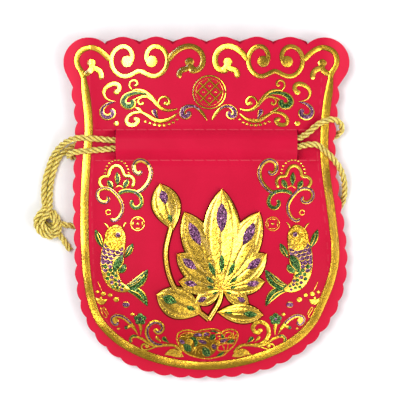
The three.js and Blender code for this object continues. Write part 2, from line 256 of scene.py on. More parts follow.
foilLook = {
    "pleatScale": 7.7,  # pleats that the drawstrings pull into the card, one every 41 mm
    "pleatShift": -0.33,
    "pleatWander": 0.6,
    "toneShare": 0.8,  # the tone's speckles are coarser than the grain by this share
    "coatRough": 0.10,
    # colour stops over the tone, roughness, grains per metre and how far each one tilts,
    # clear coat, depth of the pleats, and the waves under the foil as scale and depth
    "gold": {
        "stops": [(0.30, (0.80, 0.41, 0.028)), (0.55, (0.95, 0.57, 0.05)), (0.75, (1.0, 0.70, 0.13))],
        "rough": (0.15, 0.25), "grain": 5200.0, "tilt": 0.08, "coat": 0.8,
        "pleats": 0.0015, "waves": [(45.0, 0.0008), (120.0, 0.0003)],
    },
    "green": {
        "stops": [(0.30, (0.010, 0.042, 0.010)), (0.54, (0.036, 0.12, 0.030)), (0.80, (0.50, 0.48, 0.14))],
        "rough": (0.24, 0.38), "grain": 2400.0, "tilt": 0.5, "coat": 0.2, "pleats": 0.0012, "waves": [],
    },
    "purple": {
        "stops": [(0.30, (0.050, 0.013, 0.046)), (0.54, (0.15, 0.050, 0.125)), (0.80, (0.64, 0.42, 0.50))],
        "rough": (0.24, 0.38), "grain": 2400.0, "tilt": 0.5, "coat": 0.2, "pleats": 0.0012, "waves": [],
    },
    # dark bronze for the print's dark lines and grounds, and also painted as shade on the bevels of wide
    # strokes
    "rim": {
        "stops": [(0.30, (0.20, 0.090, 0.007)), (0.55, (0.30, 0.145, 0.010)), (0.75, (0.48, 0.27, 0.025))],
        "rough": (0.32, 0.46), "grain": 2500.0, "tilt": 0.1, "coat": 0.1, "pleats": 0.0, "waves": [],
    },
    "band": {
        "stops": [(0.30, (0.74, 0.38, 0.024)), (0.55, (0.93, 0.56, 0.045)), (0.75, (1.0, 0.70, 0.12))],
        "rough": (0.18, 0.30), "grain": 4200.0, "tilt": 0.10, "coat": 0.3,
        "pleats": 0.0, "waves": [(38.0, 0.0028)],
    },
    "relief": {
        "stops": [(0.30, (0.74, 0.40, 0.026)), (0.55, (0.93, 0.59, 0.06)), (0.75, (1.0, 0.74, 0.16))],
        "rough": (0.16, 0.28), "grain": 4200.0, "tilt": 0.10, "coat": 0.7,
        "pleats": 0.0022, "waves": [(60.0, 0.0008), (620.0, 0.00013)],
    },
    "ground": {
        "stops": [(0.30, (0.42, 0.19, 0.010)), (0.52, (0.80, 0.46, 0.030)), (0.75, (1.0, 0.68, 0.12))],
        "rough": (0.24, 0.36), "grain": 2200.0, "tilt": 0.34, "coat": 0.3,
        "pleats": 0.0008, "waves": [(620.0, 0.00012)],
    },
    # nearly black gold, painted as shade on the slanted edges of the raised lotus
    "edge": {
        "stops": [(0.30, (0.07, 0.025, 0.006)), (0.55, (0.14, 0.055, 0.010)), (0.75, (0.26, 0.12, 0.02))],
        "rough": (0.34, 0.50), "grain": 2500.0, "tilt": 0.1, "coat": 0.0, "pleats": 0.0, "waves": [],
    },
}


def foilFinish(colour):
    look = foilLook[colour]
    finish, tree, shader = startFinish(colour + "Foil")
    place = tree.nodes.new("ShaderNodeTexCoord").outputs["Object"]
    tone = noiseAt(tree, place, look["grain"] * foilLook["toneShare"], detail=3.0, roughness=0.6)
    tree.links.new(rampOf(tree, tone, look["stops"]), shader.inputs["Base Color"])
    tree.links.new(rangeOf(tree, tone, *look["rough"]), shader.inputs["Roughness"])
    pleats = addNode(
        tree, "ShaderNodeTexWave", Scale=foilLook["pleatScale"],
        Distortion=foilLook["pleatWander"], Phase_Offset=foilLook["pleatShift"],
    )
    tree.links.new(place, pleats.inputs["Vector"])
    normal = bumpOf(tree, pleats.outputs["Fac"], 1.0, look["pleats"])
    for scale, depth in look["waves"]:
        normal = bumpOf(tree, noiseAt(tree, place, scale, detail=1.0), 1.0, depth, normal)
    tree.links.new(grainNormal(tree, place, look, normal), shader.inputs["Normal"])
    shader.inputs["Metallic"].default_value = 1.0
    shader.inputs["Coat Weight"].default_value = look["coat"]
    shader.inputs["Coat Roughness"].default_value = foilLook["coatRough"]
    return finish


cordLook = {
    "creviceShade": (0.34, 0.14, 0.006),  # painted shade between the plies
    # colours over a mix of the yarns and the glints; where the glints are high the colour runs to the pale
    # top stop, a painted glint
    "stops": [(0.22, (0.97, 0.58, 0.025)), (0.46, (1.0, 0.76, 0.045)), (0.70, (1.0, 0.96, 0.36))],
    "yarnScale": 9.0,  # yarns round the cord
    "yarnWander": 2.5,
    "yarnShare": 0.45,
    "yarnStrength": 0.6,
    "yarnDepth": 0.0003,
    "glintScale": 1900.0,
    "glintRange": (-0.25, 0.85),
    "metal": 0.16,
    "rough": (0.16, 0.30),
    "coat": 0.4,
    "coatRough": 0.1,
    "grain": 1150.0,  # glittering yarns per metre, and how far each one leans
    "tilt": 0.7,
}


def cordFinish():
    finish, tree, shader = startFinish("goldCord")
    coords = tree.nodes.new("ShaderNodeTexCoord")
    place = coords.outputs["Object"]
    yarn = addNode(
        tree, "ShaderNodeTexWave", Scale=cordLook["yarnScale"],
        Distortion=cordLook["yarnWander"], Detail=2.0,
    )
    tree.links.new(coords.outputs["UV"], yarn.inputs["Vector"])
    glint = noiseAt(tree, place, cordLook["glintScale"], detail=2.0, roughness=0.6)
    mixed = tree.nodes.new("ShaderNodeMath")
    mixed.operation = "MULTIPLY_ADD"
    mixed.inputs[1].default_value = cordLook["yarnShare"]
    tree.links.new(yarn.outputs["Fac"], mixed.inputs[0])
    tree.links.new(rangeOf(tree, glint, *cordLook["glintRange"]), mixed.inputs[2])
    # the pale top stop, reached where the glint noise is high, is a painted glint
    yarns = rampOf(tree, mixed.outputs[0], cordLook["stops"])
    # painted shade in the grooves between the plies
    shade = mixOf(tree, attributeOf(tree, "creviceShade"), yarns, cordLook["creviceShade"])
    tree.links.new(shade, shader.inputs["Base Color"])
    tree.links.new(rangeOf(tree, glint, *cordLook["rough"]), shader.inputs["Roughness"])
    normal = bumpOf(tree, yarn.outputs["Fac"], cordLook["yarnStrength"], cordLook["yarnDepth"])
    tree.links.new(grainNormal(tree, place, cordLook, normal), shader.inputs["Normal"])
    shader.inputs["Metallic"].default_value = cordLook["metal"]
    shader.inputs["Coat Weight"].default_value = cordLook["coat"]
    shader.inputs["Coat Roughness"].default_value = cordLook["coatRough"]
    return finish


redFinish = redCardFinish()
foilOrder = {"gold": 0, "green": 1, "purple": 2, "rim": 3, "band": 4, "relief": 5, "edge": 6, "ground": 7}
foilFinishes = [foilFinish(colour) for colour in foilOrder]
ropeFinish = cordFinish()
print("finishes made")


# The card's own shape, the same as the solids in the frame
card = {
    "wall": 1.0,
    "backRim": 3.9,  # heights of the middle of each wall at its rim
    "frontRim": 5.2,
    "frontPuff": 5.0,
    "backSag": 4.6,
    "sagFade": (4.0, 17.0),
    "seamShare": 0.87,
    # y, half width on the left, half width on the right
    "sides": [
        (-20.0, 54.4, 58.4),
        (-6.0, 54.9, 56.9),
        (8.0, 55.2, 54.8),
        (25.0, 54.4, 53.1),
        (36.5, 54.2, 53.8),
        (50.5, 56.1, 55.1),
    ],
    "bellyY": -20.0,
    "bellyDrop": 50.7,
    "bellyPower": (2.6, 2.25),
    "sideLobes": 21,
    "sideRise": 1.1,
    "topLobes": 6,
    "topRise": 3.2,
    "topY": 68.3,
    "topHalf": 42.1,
    "ear": {"x": 49.6, "y": 61.0, "radius": 10.5, "fromAngle": 44.0, "toAngle": 208.0},
    "backNotchLift": 1.6,
    "sealSwell": 0.14,  # each rim swells inwards by this, where the two panels are glued
    "sealShare": (0.875, 0.93),  # the swelling sets in over these shares of the half width
    "sealFade": (45.0, 52.0),  # and fades out between these heights on the card
    "rimSheen": (0.86, 1.02),  # painted sheen: the flat rim is painted paler and pinker, over these shares of the half width
    "lowShade": (-5.0, 72.0),  # painted shade: the darker tint sets in between these distances below the middle
}
belt = {
    "y": 26.25,
    "half": 38.0,
    "rise": 3.4,
    "crown": 2.2,
    "foot": 8.5,
    "slitWidth": 0.3,
    "slitHalf": 6.25,
    "slitBlend": 1.2,
    "flapDip": 1.2,
    "flapReach": 47.0,
    "uncut": (33.0, 45.0),
}
# Dashed score lines along the belt and along the seam
scores = {
    "beltLines": (19.8, 32.6),
    "beltReach": 47.0,
    "beltStep": 0.8,
    "beltDash": 3.84,
    "seamShare": 0.876,
    "seamTop": 56.0,
    "seamStep": 1.0,
    "seamDash": 2.4,
    "seamTone": 0.4,
    "pitch": 4.8,  # from one dash to the next
    "halfWidth": 0.32,
    "seamHalf": 0.007,  # half width of the seam's line, as a share of the half width of the card
    "depth": 0.16,
    "tone": 0.45,
    "near": 0.05,  # points this near to a line's middle are pressed in
    "seamNear": 0.002,
    "seamOver": 0.5,
}
cardMesh = {
    "step": 1.15,
    "reach": (62.0, 74.0),
    "shake": 0.02,
    "seed": 4,
    "edgeGap": 0.35,  # how far the grid keeps from the outline and the slits, and from score lines
    "scoreGap": 0.55,
    "sideSteps": (160, 200),  # down to the belly, and round it
    "lobeSteps": 9,
    "topLobeSteps": 16,
    "earSteps": 34,
    "slitSteps": 15,
}


def sideReach(column, y):
    rows = np.array(card["sides"])
    ys = rows[:, 0]
    reach = rows[:, column]
    slope = np.empty(len(ys))
    slope[1:-1] = (reach[2:] - reach[:-2]) / (ys[2:] - ys[:-2])
    slope[0] = (reach[1] - reach[0]) / (ys[1] - ys[0])
    slope[-1] = (reach[-1] - reach[-2]) / (ys[-1] - ys[-2])
    y = np.clip(y, ys[0], ys[-1])
    i = np.clip(np.searchsorted(ys, y) - 1, 0, len(ys) - 2)
    span = ys[i + 1] - ys[i]
    t = (y - ys[i]) / span
    lower = (1 - t) ** 2 * ((1 + 2 * t) * reach[i] + t * span * slope[i])
    return lower + t**2 * ((3 - 2 * t) * reach[i + 1] + (t - 1) * span * slope[i + 1])


# 0 on the middle line, 1 on the line of the notches
def edgeShare(x, y):
    onLeft = x < 0
    across = np.abs(x) / np.where(onLeft, sideReach(1, y), sideReach(2, y))
    power = np.where(onLeft, *card["bellyPower"])
    down = np.clip((card["bellyY"] - y) / card["bellyDrop"], 0.0, None)
    return (across**power + down**power) ** (1.0 / power)


def puffAt(x, y):
    return np.clip(1.0 - (edgeShare(x, y) / card["seamShare"]) ** 4, 0.0, None)


def beltLift(x, y):
    off = np.abs(y - belt["y"])
    reach = np.abs(x)
    arch = 1.0 - ease(off, belt["crown"], belt["foot"])
    cut = 1.0 - ease(off, belt["slitHalf"] - belt["slitBlend"], belt["slitHalf"])
    flap = -belt["flapDip"] * (1.0 - ease(reach, belt["half"], belt["flapReach"]))
    atSlit = np.where(reach <= belt["half"] + 1e-6, belt["rise"], flap)
    uncut = belt["rise"] * (1.0 - ease(reach, *belt["uncut"]))
    return arch * (cut * atSlit + (1.0 - cut) * uncut)


def frontMiddle(x, y):
    return card["frontRim"] + card["frontPuff"] * puffAt(x, y) + beltLift(x, y)


def backMiddle(x, y):
    sag = card["backSag"] * puffAt(x, y) * (1.0 - ease(y, *card["sagFade"]))
    return np.maximum(card["wall"] / 2, card["backRim"] - sag - beltLift(x, y))


def frontTop(x, y):
    return frontMiddle(x, y) + card["wall"] / 2


# One side line at a share of the half width, from the top corner to the bottom's middle
def sideLine(column, share=1.0, fromY=None):
    sign = -1.0 if column == 1 else 1.0
    top = card["sides"][-1][0] if fromY is None else fromY
    downSteps, roundSteps = cardMesh["sideSteps"]
    y = np.linspace(top, card["bellyY"], downSteps, endpoint=False)
    upper = np.stack([sign * share * sideReach(column, y), y], axis=1)
    angle = np.linspace(0.0, math.pi / 2, roundSteps)
    power = 2.0 / card["bellyPower"][column - 1]
    widest = sideReach(column, np.array([card["bellyY"]]))
    x = sign * share * widest * np.maximum(np.cos(angle), 0.0) ** power
    down = card["bellyY"] - share * card["bellyDrop"] * np.sin(angle) ** power
    return np.vstack([upper, np.stack([x, down], axis=1)])


# Round lobes between notches in anticlockwise order, without the last notch
def lobesBetween(notches, rise, steps):
    t = np.linspace(0.0, 1.0, steps, endpoint=False)[:, None]
    rows = []
    for a, b in zip(notches[:-1], notches[1:]):
        out = unit(np.array([b[1] - a[1], a[0] - b[0]]))
        rows.append(a + (b - a) * t + out * 4.0 * rise * t * (1.0 - t))
    return np.vstack(rows)


def earArc(sign, fromAngle, toAngle):
    ear = card["ear"]
    angle = np.radians(np.linspace(fromAngle, toAngle, cardMesh["earSteps"]))
    x = sign * ear["x"] + ear["radius"] * np.cos(angle)
    return np.stack([x, ear["y"] + ear["radius"] * np.sin(angle)], axis=1)


def scallopedOutline(notchLift):
    ear = card["ear"]
    right = evenSteps(sideLine(2), card["sideLobes"] + 1)[::-1]
    left = evenSteps(sideLine(1), card["sideLobes"] + 1)
    topX = np.linspace(card["topHalf"], -card["topHalf"], card["topLobes"] + 1)
    top = np.stack([topX, np.full(len(topX), card["topY"] + notchLift)], axis=1)
    return np.vstack([
        lobesBetween(right, card["sideRise"], cardMesh["lobeSteps"]),
        right[-1:],
        earArc(1.0, 180.0 - ear["toAngle"], 180.0 - ear["fromAngle"])[:-1],
        lobesBetween(top, card["topRise"] - notchLift, cardMesh["topLobeSteps"]),
        top[-1:],
        earArc(-1.0, ear["fromAngle"], ear["toAngle"])[1:],
        lobesBetween(left, card["sideRise"], cardMesh["lobeSteps"]),
    ])


def insideOf(points, ring):
    x, y = points[:, :1], points[:, 1:]
    ax, ay = ring[:, 0], ring[:, 1]
    bx, by = np.roll(ring, -1, axis=0).T
    crosses = (ay > y) != (by > y)
    slope = np.where(by == ay, 1.0, by - ay)
    hits = crosses & (x < (bx - ax) * (y - ay) / slope + ax)
    return hits.sum(axis=1) % 2 == 1


# Taken in batches, so that the table of distances stays small
def farFrom(points, others, gap, batch=2000):
    keep = np.ones(len(points), bool)
    for start in range(0, len(points), batch):
        block = points[start:start + batch]
        away = np.linalg.norm(block[:, None] - others[None], axis=2).min(axis=1)
        keep[start:start + batch] = away > gap
    return points[keep]


def slitRing(sign):
    y = np.linspace(belt["y"] - belt["slitHalf"], belt["y"] + belt["slitHalf"], cardMesh["slitSteps"])
    inner = np.stack([np.full(len(y), sign * belt["half"]), y], axis=1)
    outer = inner + np.array([sign * belt["slitWidth"], 0.0])
    return np.vstack([inner, outer[::-1]])


# Points on both sides of each score line, close enough together to hold a groove
def scorePoints():
    half = scores["halfWidth"]
    x = np.arange(-scores["beltReach"], scores["beltReach"] + 0.1, scores["beltStep"])
    rows = []
    for y in scores["beltLines"]:
        for off in (-half, 0.0, half):
            rows.append(np.stack([x, np.full(len(x), y + off)], axis=1))
    for column in (1, 2):
        for off in (-scores["seamHalf"], 0.0, scores["seamHalf"]):
            seam = sideLine(column, scores["seamShare"] + off, scores["seamTop"])
            rows.append(evenSteps(seam, int(lengthsAlong(seam)[-1] / scores["seamStep"])))
    return np.vstack(rows)


def scoreDepth(x, y):
    depth = np.zeros(len(x))
    for lineY in scores["beltLines"]:
        onDash = np.mod(x, scores["pitch"]) < scores["beltDash"]
        onDash &= (np.abs(x) < scores["beltReach"]) & (np.abs(y - lineY) < scores["near"])
        depth += np.where(onDash, scores["depth"], 0.0)
    onSeam = np.abs(edgeShare(x, y) - scores["seamShare"]) < scores["seamNear"]
    onSeam &= y < scores["seamTop"] + scores["seamOver"]
    onSeam &= np.mod(x + y, scores["pitch"]) < scores["seamDash"]
    return depth + np.where(onSeam, scores["seamTone"] * scores["depth"], 0.0)


def sealAt(x, y):
    return ease(edgeShare(x, y), *card["sealShare"]) * (1.0 - ease(y, *card["sealFade"]))


# Points of a panel: its outline, its slits, its score lines and a grid that is shaken a little
def panelPoints(rim, slits, printed):
    reachX, reachY = cardMesh["reach"]
    xs = np.arange(-reachX, reachX, cardMesh["step"])
    ys = np.arange(-reachY, reachY, cardMesh["step"])
    grid = np.stack(np.meshgrid(xs, ys), axis=2).reshape(-1, 2)
    shake = cardMesh["shake"]
    grid += np.random.default_rng(cardMesh["seed"]).uniform(-shake, shake, grid.shape)
    grid = grid[insideOf(grid, rim)]
    fixed = np.vstack([rim, *slits])
    if printed:
        lines = scorePoints()
        lines = farFrom(lines[insideOf(lines, rim)], fixed, cardMesh["edgeGap"])
        grid = np.vstack([lines, farFrom(grid, lines, cardMesh["scoreGap"])])
    return np.vstack([fixed, farFrom(grid, fixed, cardMesh["edgeGap"])])


def ringEdges(rings):
    edges = []
    start = 0
    for ring in rings:
        count = len(ring)
        edges += [(start + k, start + (k + 1) % count) for k in range(count)]
        start += count
    return edges


# Triangles between the points, without those that fill the slits
def panelTriangles(points, edges):
    flat = [Vector(p) for p in points.tolist()]
    result = delaunay_2d_cdt(flat, edges, [], 1, 1e-5)
    spots = np.array([tuple(s) for s in result[0]])
    triangles = np.array(result[2])
    x, y = spots[triangles].mean(axis=1).T
    inSlit = np.abs(y - belt["y"]) < belt["slitHalf"]
    inSlit &= (np.abs(x) > belt["half"]) & (np.abs(x) < belt["half"] + belt["slitWidth"])
    return spots, triangles[~inSlit]


def turnOver(spots, triangles, inwards):
    a, b, c = (spots[triangles[:, k]] for k in range(3))
    turn = (b[:, 0] - a[:, 0]) * (c[:, 1] - a[:, 1]) - (b[:, 1] - a[:, 1]) * (c[:, 0] - a[:, 0])
    facing = turn * -inwards > 0
    return np.where(facing[:, None], triangles, triangles[:, ::-1])


def addPanel(name, middleAt, notchLift, inwards, printed):
    rim = scallopedOutline(notchLift)
    slits = [slitRing(-1.0), slitRing(1.0)]
    spots, triangles = panelTriangles(panelPoints(rim, slits, printed), ringEdges([rim, *slits]))
    triangles = turnOver(spots, triangles, inwards)
    x, y = spots.T
    count = len(spots)
    middle = middleAt(x, y)
    half = card["wall"] / 2
    groove = scoreDepth(x, y) if printed else np.zeros(count)
    outer = middle - inwards * half + inwards * groove
    inner = middle + inwards * (half + card["sealSwell"] * sealAt(x, y))
    verts = np.vstack([np.column_stack([spots, outer]), np.column_stack([spots, inner])])
    sides = np.concatenate([triangles[:, [0, 1]], triangles[:, [1, 2]], triangles[:, [2, 0]]])
    known = {tuple(side) for side in sides.tolist()}
    walls = [(p, p + count, q + count, q) for p, q in sides.tolist() if (q, p) not in known]
    faces = triangles.tolist() + (triangles[:, ::-1] + count).tolist() + walls
    piece = addPiece(name, verts, faces, [redFinish])
    scored = scores["tone"] * groove / scores["depth"]
    # painted sheen on the flat rim
    layTone(piece.data, "rimSheen", np.tile(ease(edgeShare(x, y), *card["rimSheen"]), 2))
    # painted shade, growing towards the bottom of the pouch
    layTone(piece.data, "lowShade", np.tile(ease(-y, *card["lowShade"]), 2))
    layTone(piece.data, "scored", np.concatenate([scored, np.zeros(count)]))
    return piece


frontCard = addPanel("front_card", frontMiddle, 0.0, -1.0, True)
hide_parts("front_panel")
backCard = addPanel("back_card", backMiddle, card["backNotchLift"], 1.0, False)
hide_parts("back_panel")
print("card panels made:", len(frontCard.data.polygons), "and", len(backCard.data.polygons), "faces")


# Twisted drawstrings
rope = {
    "diameter": 2.7,
    "lay": 8.0,  # length of one turn of the plies
    "plies": 3,
    "ply": 0.66,
    "plyOffset": 0.69,
    "facesPerPly": 8,
    "step": 0.34,
    "cutEnd": 0.9,
    "creviceShadeTop": 0.16,  # the painted shade between the plies ends this far below their tops
    "sharpAngle": 60.0,
}
# From the knot over the left rim, behind the front belt, round the right rim and back behind the back belt
leftRoute = [
    (-68.0, -0.1, 3.4), (-68.6, 5.0, 1.6), (-68.2, 11.0, 1.5), (-66.5, 17.0, 1.5), (-64.5, 22.0, 1.8),
    (-61.8, 25.5, 3.2), (-58.5, 27.9, 5.6), (-54.4, 29.2, 7.3), (-49.4, 29.1, 7.7), (-44.0, 28.7, 8.3),
    (-38.4, 28.2, 9.1), (-33.0, 28.2, 9.9), (-12.0, 28.5, 11.2), (12.0, 28.7, 11.1), (33.0, 28.9, 9.7),
    (38.4, 29.1, 8.8), (42.5, 31.2, 8.9), (46.4, 34.6, 8.0), (50.2, 36.6, 7.7), (53.5, 36.9, 7.6),
    (56.2, 35.3, 6.0), (56.9, 32.9, 3.9), (55.3, 30.7, 2.1), (52.4, 29.2, 1.6), (47.0, 28.3, 1.8),
    (42.0, 28.0, 2.3), (38.4, 28.0, 2.8), (33.0, 28.0, 2.9), (-33.0, 28.0, 2.9), (-38.4, 28.0, 2.8),
    (-42.0, 28.0, 2.3), (-47.0, 27.7, 1.8), (-52.4, 27.3, 1.6), (-57.2, 25.4, 1.5), (-61.4, 22.2, 1.5),
    (-63.9, 17.0, 1.5), (-65.5, 11.0, 1.5), (-66.0, 5.4, 1.6), (-66.0, 0.1, 3.0),
]
# From under the right rim behind the back belt, round the left rim, behind the front belt to the right loop
rightRoute = [
    (51.4, 2.4, 1.5), (50.6, 8.0, 1.5), (49.6, 14.0, 1.6), (47.6, 19.4, 1.5), (42.8, 23.2, 1.9),
    (38.4, 24.5, 2.8), (33.0, 24.5, 2.9), (-33.0, 24.5, 2.9), (-38.4, 24.5, 2.8), (-42.4, 23.9, 2.0),
    (-47.4, 22.6, 1.8), (-52.6, 21.6, 1.6), (-56.9, 21.3, 2.2), (-58.1, 21.9, 4.4), (-57.0, 22.9, 6.7),
    (-52.6, 23.6, 7.7), (-48.4, 24.0, 7.8), (-43.4, 24.4, 8.4), (-38.4, 24.8, 9.1), (-33.0, 24.9, 9.9),
    (-12.0, 25.1, 11.2), (12.0, 25.3, 11.2), (33.0, 25.5, 9.9), (38.4, 25.6, 9.0), (42.6, 26.4, 8.6),
    (46.6, 26.2, 7.9), (50.0, 23.6, 7.8), (53.0, 20.6, 7.6), (55.8, 16.8, 6.8), (57.6, 12.4, 5.2),
    (58.2, 8.0, 3.2), (57.9, 4.0, 1.8), (56.4, 0.6, 1.5), (53.8, -0.6, 1.5),
]
knot = {
    "spread": 1.25,  # each of the two strands lies this far from the knot's own line
    "floorGap": 0.05,
    # x, y, z of the line and how far the pair of strands leans out of level, in degrees
    "line": [
        (-67.6, -1.9, 5.0, 0), (-69.1, -3.5, 5.8, 5), (-70.3, -5.6, 5.9, 10), (-69.8, -8.1, 5.6, 10),
        (-67.8, -10.3, 5.0, 10), (-65.3, -11.0, 4.6, 20), (-63.3, -9.4, 4.4, 40), (-62.8, -6.6, 4.5, 60),
        (-63.8, -3.9, 4.1, 60), (-65.9, -2.3, 2.9, 40), (-68.5, -2.7, 1.7, 0), (-70.0, -5.0, 1.5, 0),
        (-69.1, -7.7, 1.5, 0), (-66.4, -8.7, 1.6, 0), (-63.8, -8.5, 1.8, 0),
    ],
}
upperTail = [(-61.4, -7.0, 2.0), (-58.6, -7.4, 1.6), (-55.0, -8.0, 1.5), (-51.0, -9.2, 1.5)]
lowerTail = [(-61.6, -11.9, 1.8), (-59.6, -14.8, 1.5), (-57.4, -18.1, 1.5)]


def knotStrand(side):
    rows = np.array(knot["line"], float)
    line, lean = rows[:, :3], np.radians(rows[:, 3])
    heading = unit(np.gradient(line[:, :2], axis=0))
    level = np.column_stack([-heading[:, 1], heading[:, 0], np.zeros(len(line))])
    shift = np.cos(lean)[:, None] * level + np.sin(lean)[:, None] * np.array([0.0, 0.0, 1.0])
    strand = line + side * knot["spread"] * shift
    strand[:, 2] = np.maximum(strand[:, 2], rope["diameter"] / 2 + knot["floorGap"])
    return [tuple(p) for p in strand]


# Outline of the plies laid together, as a radius at each angle round the cord
def plyOutline():
    wedge = 360.0 / rope["plies"]
    bend = np.linspace(-wedge / 2, wedge / 2, rope["facesPerPly"], endpoint=False)
    off = np.radians(bend)
    offset = rope["plyOffset"]
    radius = offset * np.cos(off) + np.sqrt(rope["ply"] ** 2 - (offset * np.sin(off)) ** 2)
    angle = np.radians(np.concatenate([bend + wedge * ply for ply in range(rope["plies"])]))
    return angle, np.tile(radius, rope["plies"])


# Two directions across a line at each of its points, which follow it without a twist
def acrossLine(line):
    tangent = unit(np.gradient(line, axis=0))
    side = unit(np.cross(tangent[0], np.array([0.0, 0.0, 1.0])))
    sides = []
    for along in tangent:
        side = side - side.dot(along) * along
        side = side / np.linalg.norm(side)
        sides.append(side)
    sides = np.array(sides)
    return sides, np.cross(tangent, sides)


# Faces of a tube made of rings, with a point that closes each end
def tubeFaces(rings, around):
    faces = []
    for i in range(rings - 1):
        here = i * around
        for k in range(around):
            n = (k + 1) % around
            faces.append((here + k, here + n, here + around + n, here + around + k))
    last = (rings - 1) * around
    startPoint = rings * around
    for k in range(around):
        n = (k + 1) % around
        faces.append((startPoint, n, k))
        faces.append((startPoint + 1, last + k, last + n))
    return faces


# Map coordinates that run along and round the cord, for the yarns
def layYarn(mesh, reach, around):
    layer = mesh.uv_layers.new(name="yarn")
    corners = np.empty(len(mesh.loops), np.int32)
    mesh.loops.foreach_get("vertex_index", corners)
    ring = np.minimum(corners // around, len(reach) - 1)
    along = reach[ring] / rope["lay"]
    turnShare = (corners % around) / around
    layer.data.foreach_set("uv", np.column_stack([turnShare, along]).astype(np.float32).ravel())


def addRope(name, route):
    line = smoothLine(route, rope["step"])
    sides, ups = acrossLine(line)
    reach = lengthsAlong(line)
    angle, radius = plyOutline()
    turned = angle[None] + (2 * math.pi / rope["lay"]) * reach[:, None]
    size = np.ones(len(line))
    size[[0, -1]] = rope["cutEnd"]
    out = np.cos(turned)[..., None] * sides[:, None] + np.sin(turned)[..., None] * ups[:, None]
    ring = size[:, None, None] * radius[None, :, None] * out
    verts = np.vstack([(line[:, None] + ring).reshape(-1, 3), line[[0, -1]]])
    faces = tubeFaces(len(line), len(angle))
    piece = addPiece(name, verts, faces, [ropeFinish], sharpAngle=rope["sharpAngle"])
    layYarn(piece.data, reach, len(angle))
    # painted shade, strongest at the bottom of each groove between the plies
    depth = 1.0 - ease(radius, radius.min(), radius.max() - rope["creviceShadeTop"])
    layTone(piece.data, "creviceShade", [*np.tile(depth, len(line)), 1.0, 1.0])
    return piece, line


def ropeLength(line):
    return float(lengthsAlong(line)[-1]) * mm


leftWhole = [*lowerTail[::-1], *knotStrand(-1.0)[::-1], *leftRoute, *knotStrand(1.0), *upperTail]
leftRope, leftLine = addRope("left_drawstring", leftWhole)
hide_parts("left_cord", "cord_knot", "upper_tail", "lower_tail")
rightRope, rightLine = addRope("right_drawstring", rightRoute)
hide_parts("right_cord")
print("drawstrings made:", round(ropeLength(leftLine), 3), "m and", round(ropeLength(rightLine), 3), "m")


# Gold foil print: low raised strips that follow the front of the card.
# Charts are drawn on a square sheet over the front, with y downwards, and a unit of the sheet is 0.42 mm.
foilSheet = {
    "middleX": 206.5,
    "middleY": 207.7,
    "unit": 0.42,
    "step": 0.5,
    "dotStep": 0.2,
    "height": 0.26,  # the foil's flat top above the card
    "fullFrom": 0.7,  # strokes narrower than this are lower, down to a share of the height
    "leastHeight": 0.35,
    "sunk": 0.12,
    "bevel": 0.29,
    "inlayBevel": 0.10,
    "leastTop": 0.45,  # share of the width that the bevels leave at least
    "leastEnd": 0.06,  # share of the width at the very end of a stroke
    "crown": 0.045,  # share of the width that the middle stands higher
    "bandCrown": 0.07,
    "crownTo": 3.0,
    "bandRise": 0.02,  # the border's inner half climbs towards the belly
    "rimFrom": 0.95,  # strokes from this width on have their bevels painted dark as shade
    "inlayLift": 0.08,
    "lineLift": 0.17,  # thin gold lines that run over an inlay
    "dotReach": 0.995,
    "middleReach": 70.0,
    "sharpAngle": 25.0,
}
# Colour of an inlay, the share of its stroke's width, and how far it lies to the left of the stroke's line
inlays = {
    "green": ("green", 0.64, 0.0),
    "purple": ("purple", 0.64, 0.0),
    "greenSide": ("green", 0.44, 0.12),
    "purpleSide": ("purple", 0.44, 0.12),
    "greenFin": ("green", 0.78, 0.0),
    "purpleFin": ("purple", 0.78, 0.0),
}
# Finishes of strokes that lie on another stroke and have no gold of their own below them
overlays = {"goldLine": "gold", "darkLine": "rim", "greenPatch": "green"}
# How a stroke's width runs from its start (t = 0) to its end
strokeForms = {
    "even": lambda t: np.ones(len(t)),
    "wane": lambda t: 0.4 + 0.6 * np.sin(math.pi * t) ** 0.8,
    "curl": lambda t: 0.55 + 0.45 * (1.0 - t) ** 0.7,
    "comma": lambda t: 0.3 + 0.7 * (1.0 - t) ** 0.9,
    "grow": lambda t: 0.3 + 0.7 * np.minimum(1.0, 1.6 * t) ** 0.9,
    "drop": lambda t: np.sqrt(np.clip(1.0 - ((t - 0.28) / 0.73) ** 2, 0.02, 1.0)) * (1.1 - 0.75 * t),
    "leaf": lambda t: np.clip(np.sin(math.pi * t**1.1), 0.0, 1.0) ** 0.75 + 0.02,
    "point": lambda t: np.clip(1.15 * (1.0 - t**2.2), 0.02, 1.0),
    "border": lambda t: 0.62 + 0.38 * ease(np.minimum(t, 1.0 - t), 0.004, 0.034),
}


def onCard(points):
    p = np.array(points, float)
    x = (p[:, 0] - foilSheet["middleX"]) * foilSheet["unit"]
    y = (foilSheet["middleY"] - p[:, 1]) * foilSheet["unit"]
    return np.column_stack([x, y])


# Rows of x, y and width on the sheet, as one smooth line on the card
def bodyOnCard(rows, step):
    body = np.array(rows, float)
    return smoothLine(np.column_stack([onCard(body[:, :2]), body[:, 2] * foilSheet["unit"]]), step)


def newFoil():
    return {"verts": [], "faces": [], "finish": [], "count": 0}


def leftOf(line):
    heading = unit(np.gradient(line, axis=0))
    return np.column_stack([-heading[:, 1], heading[:, 0]])


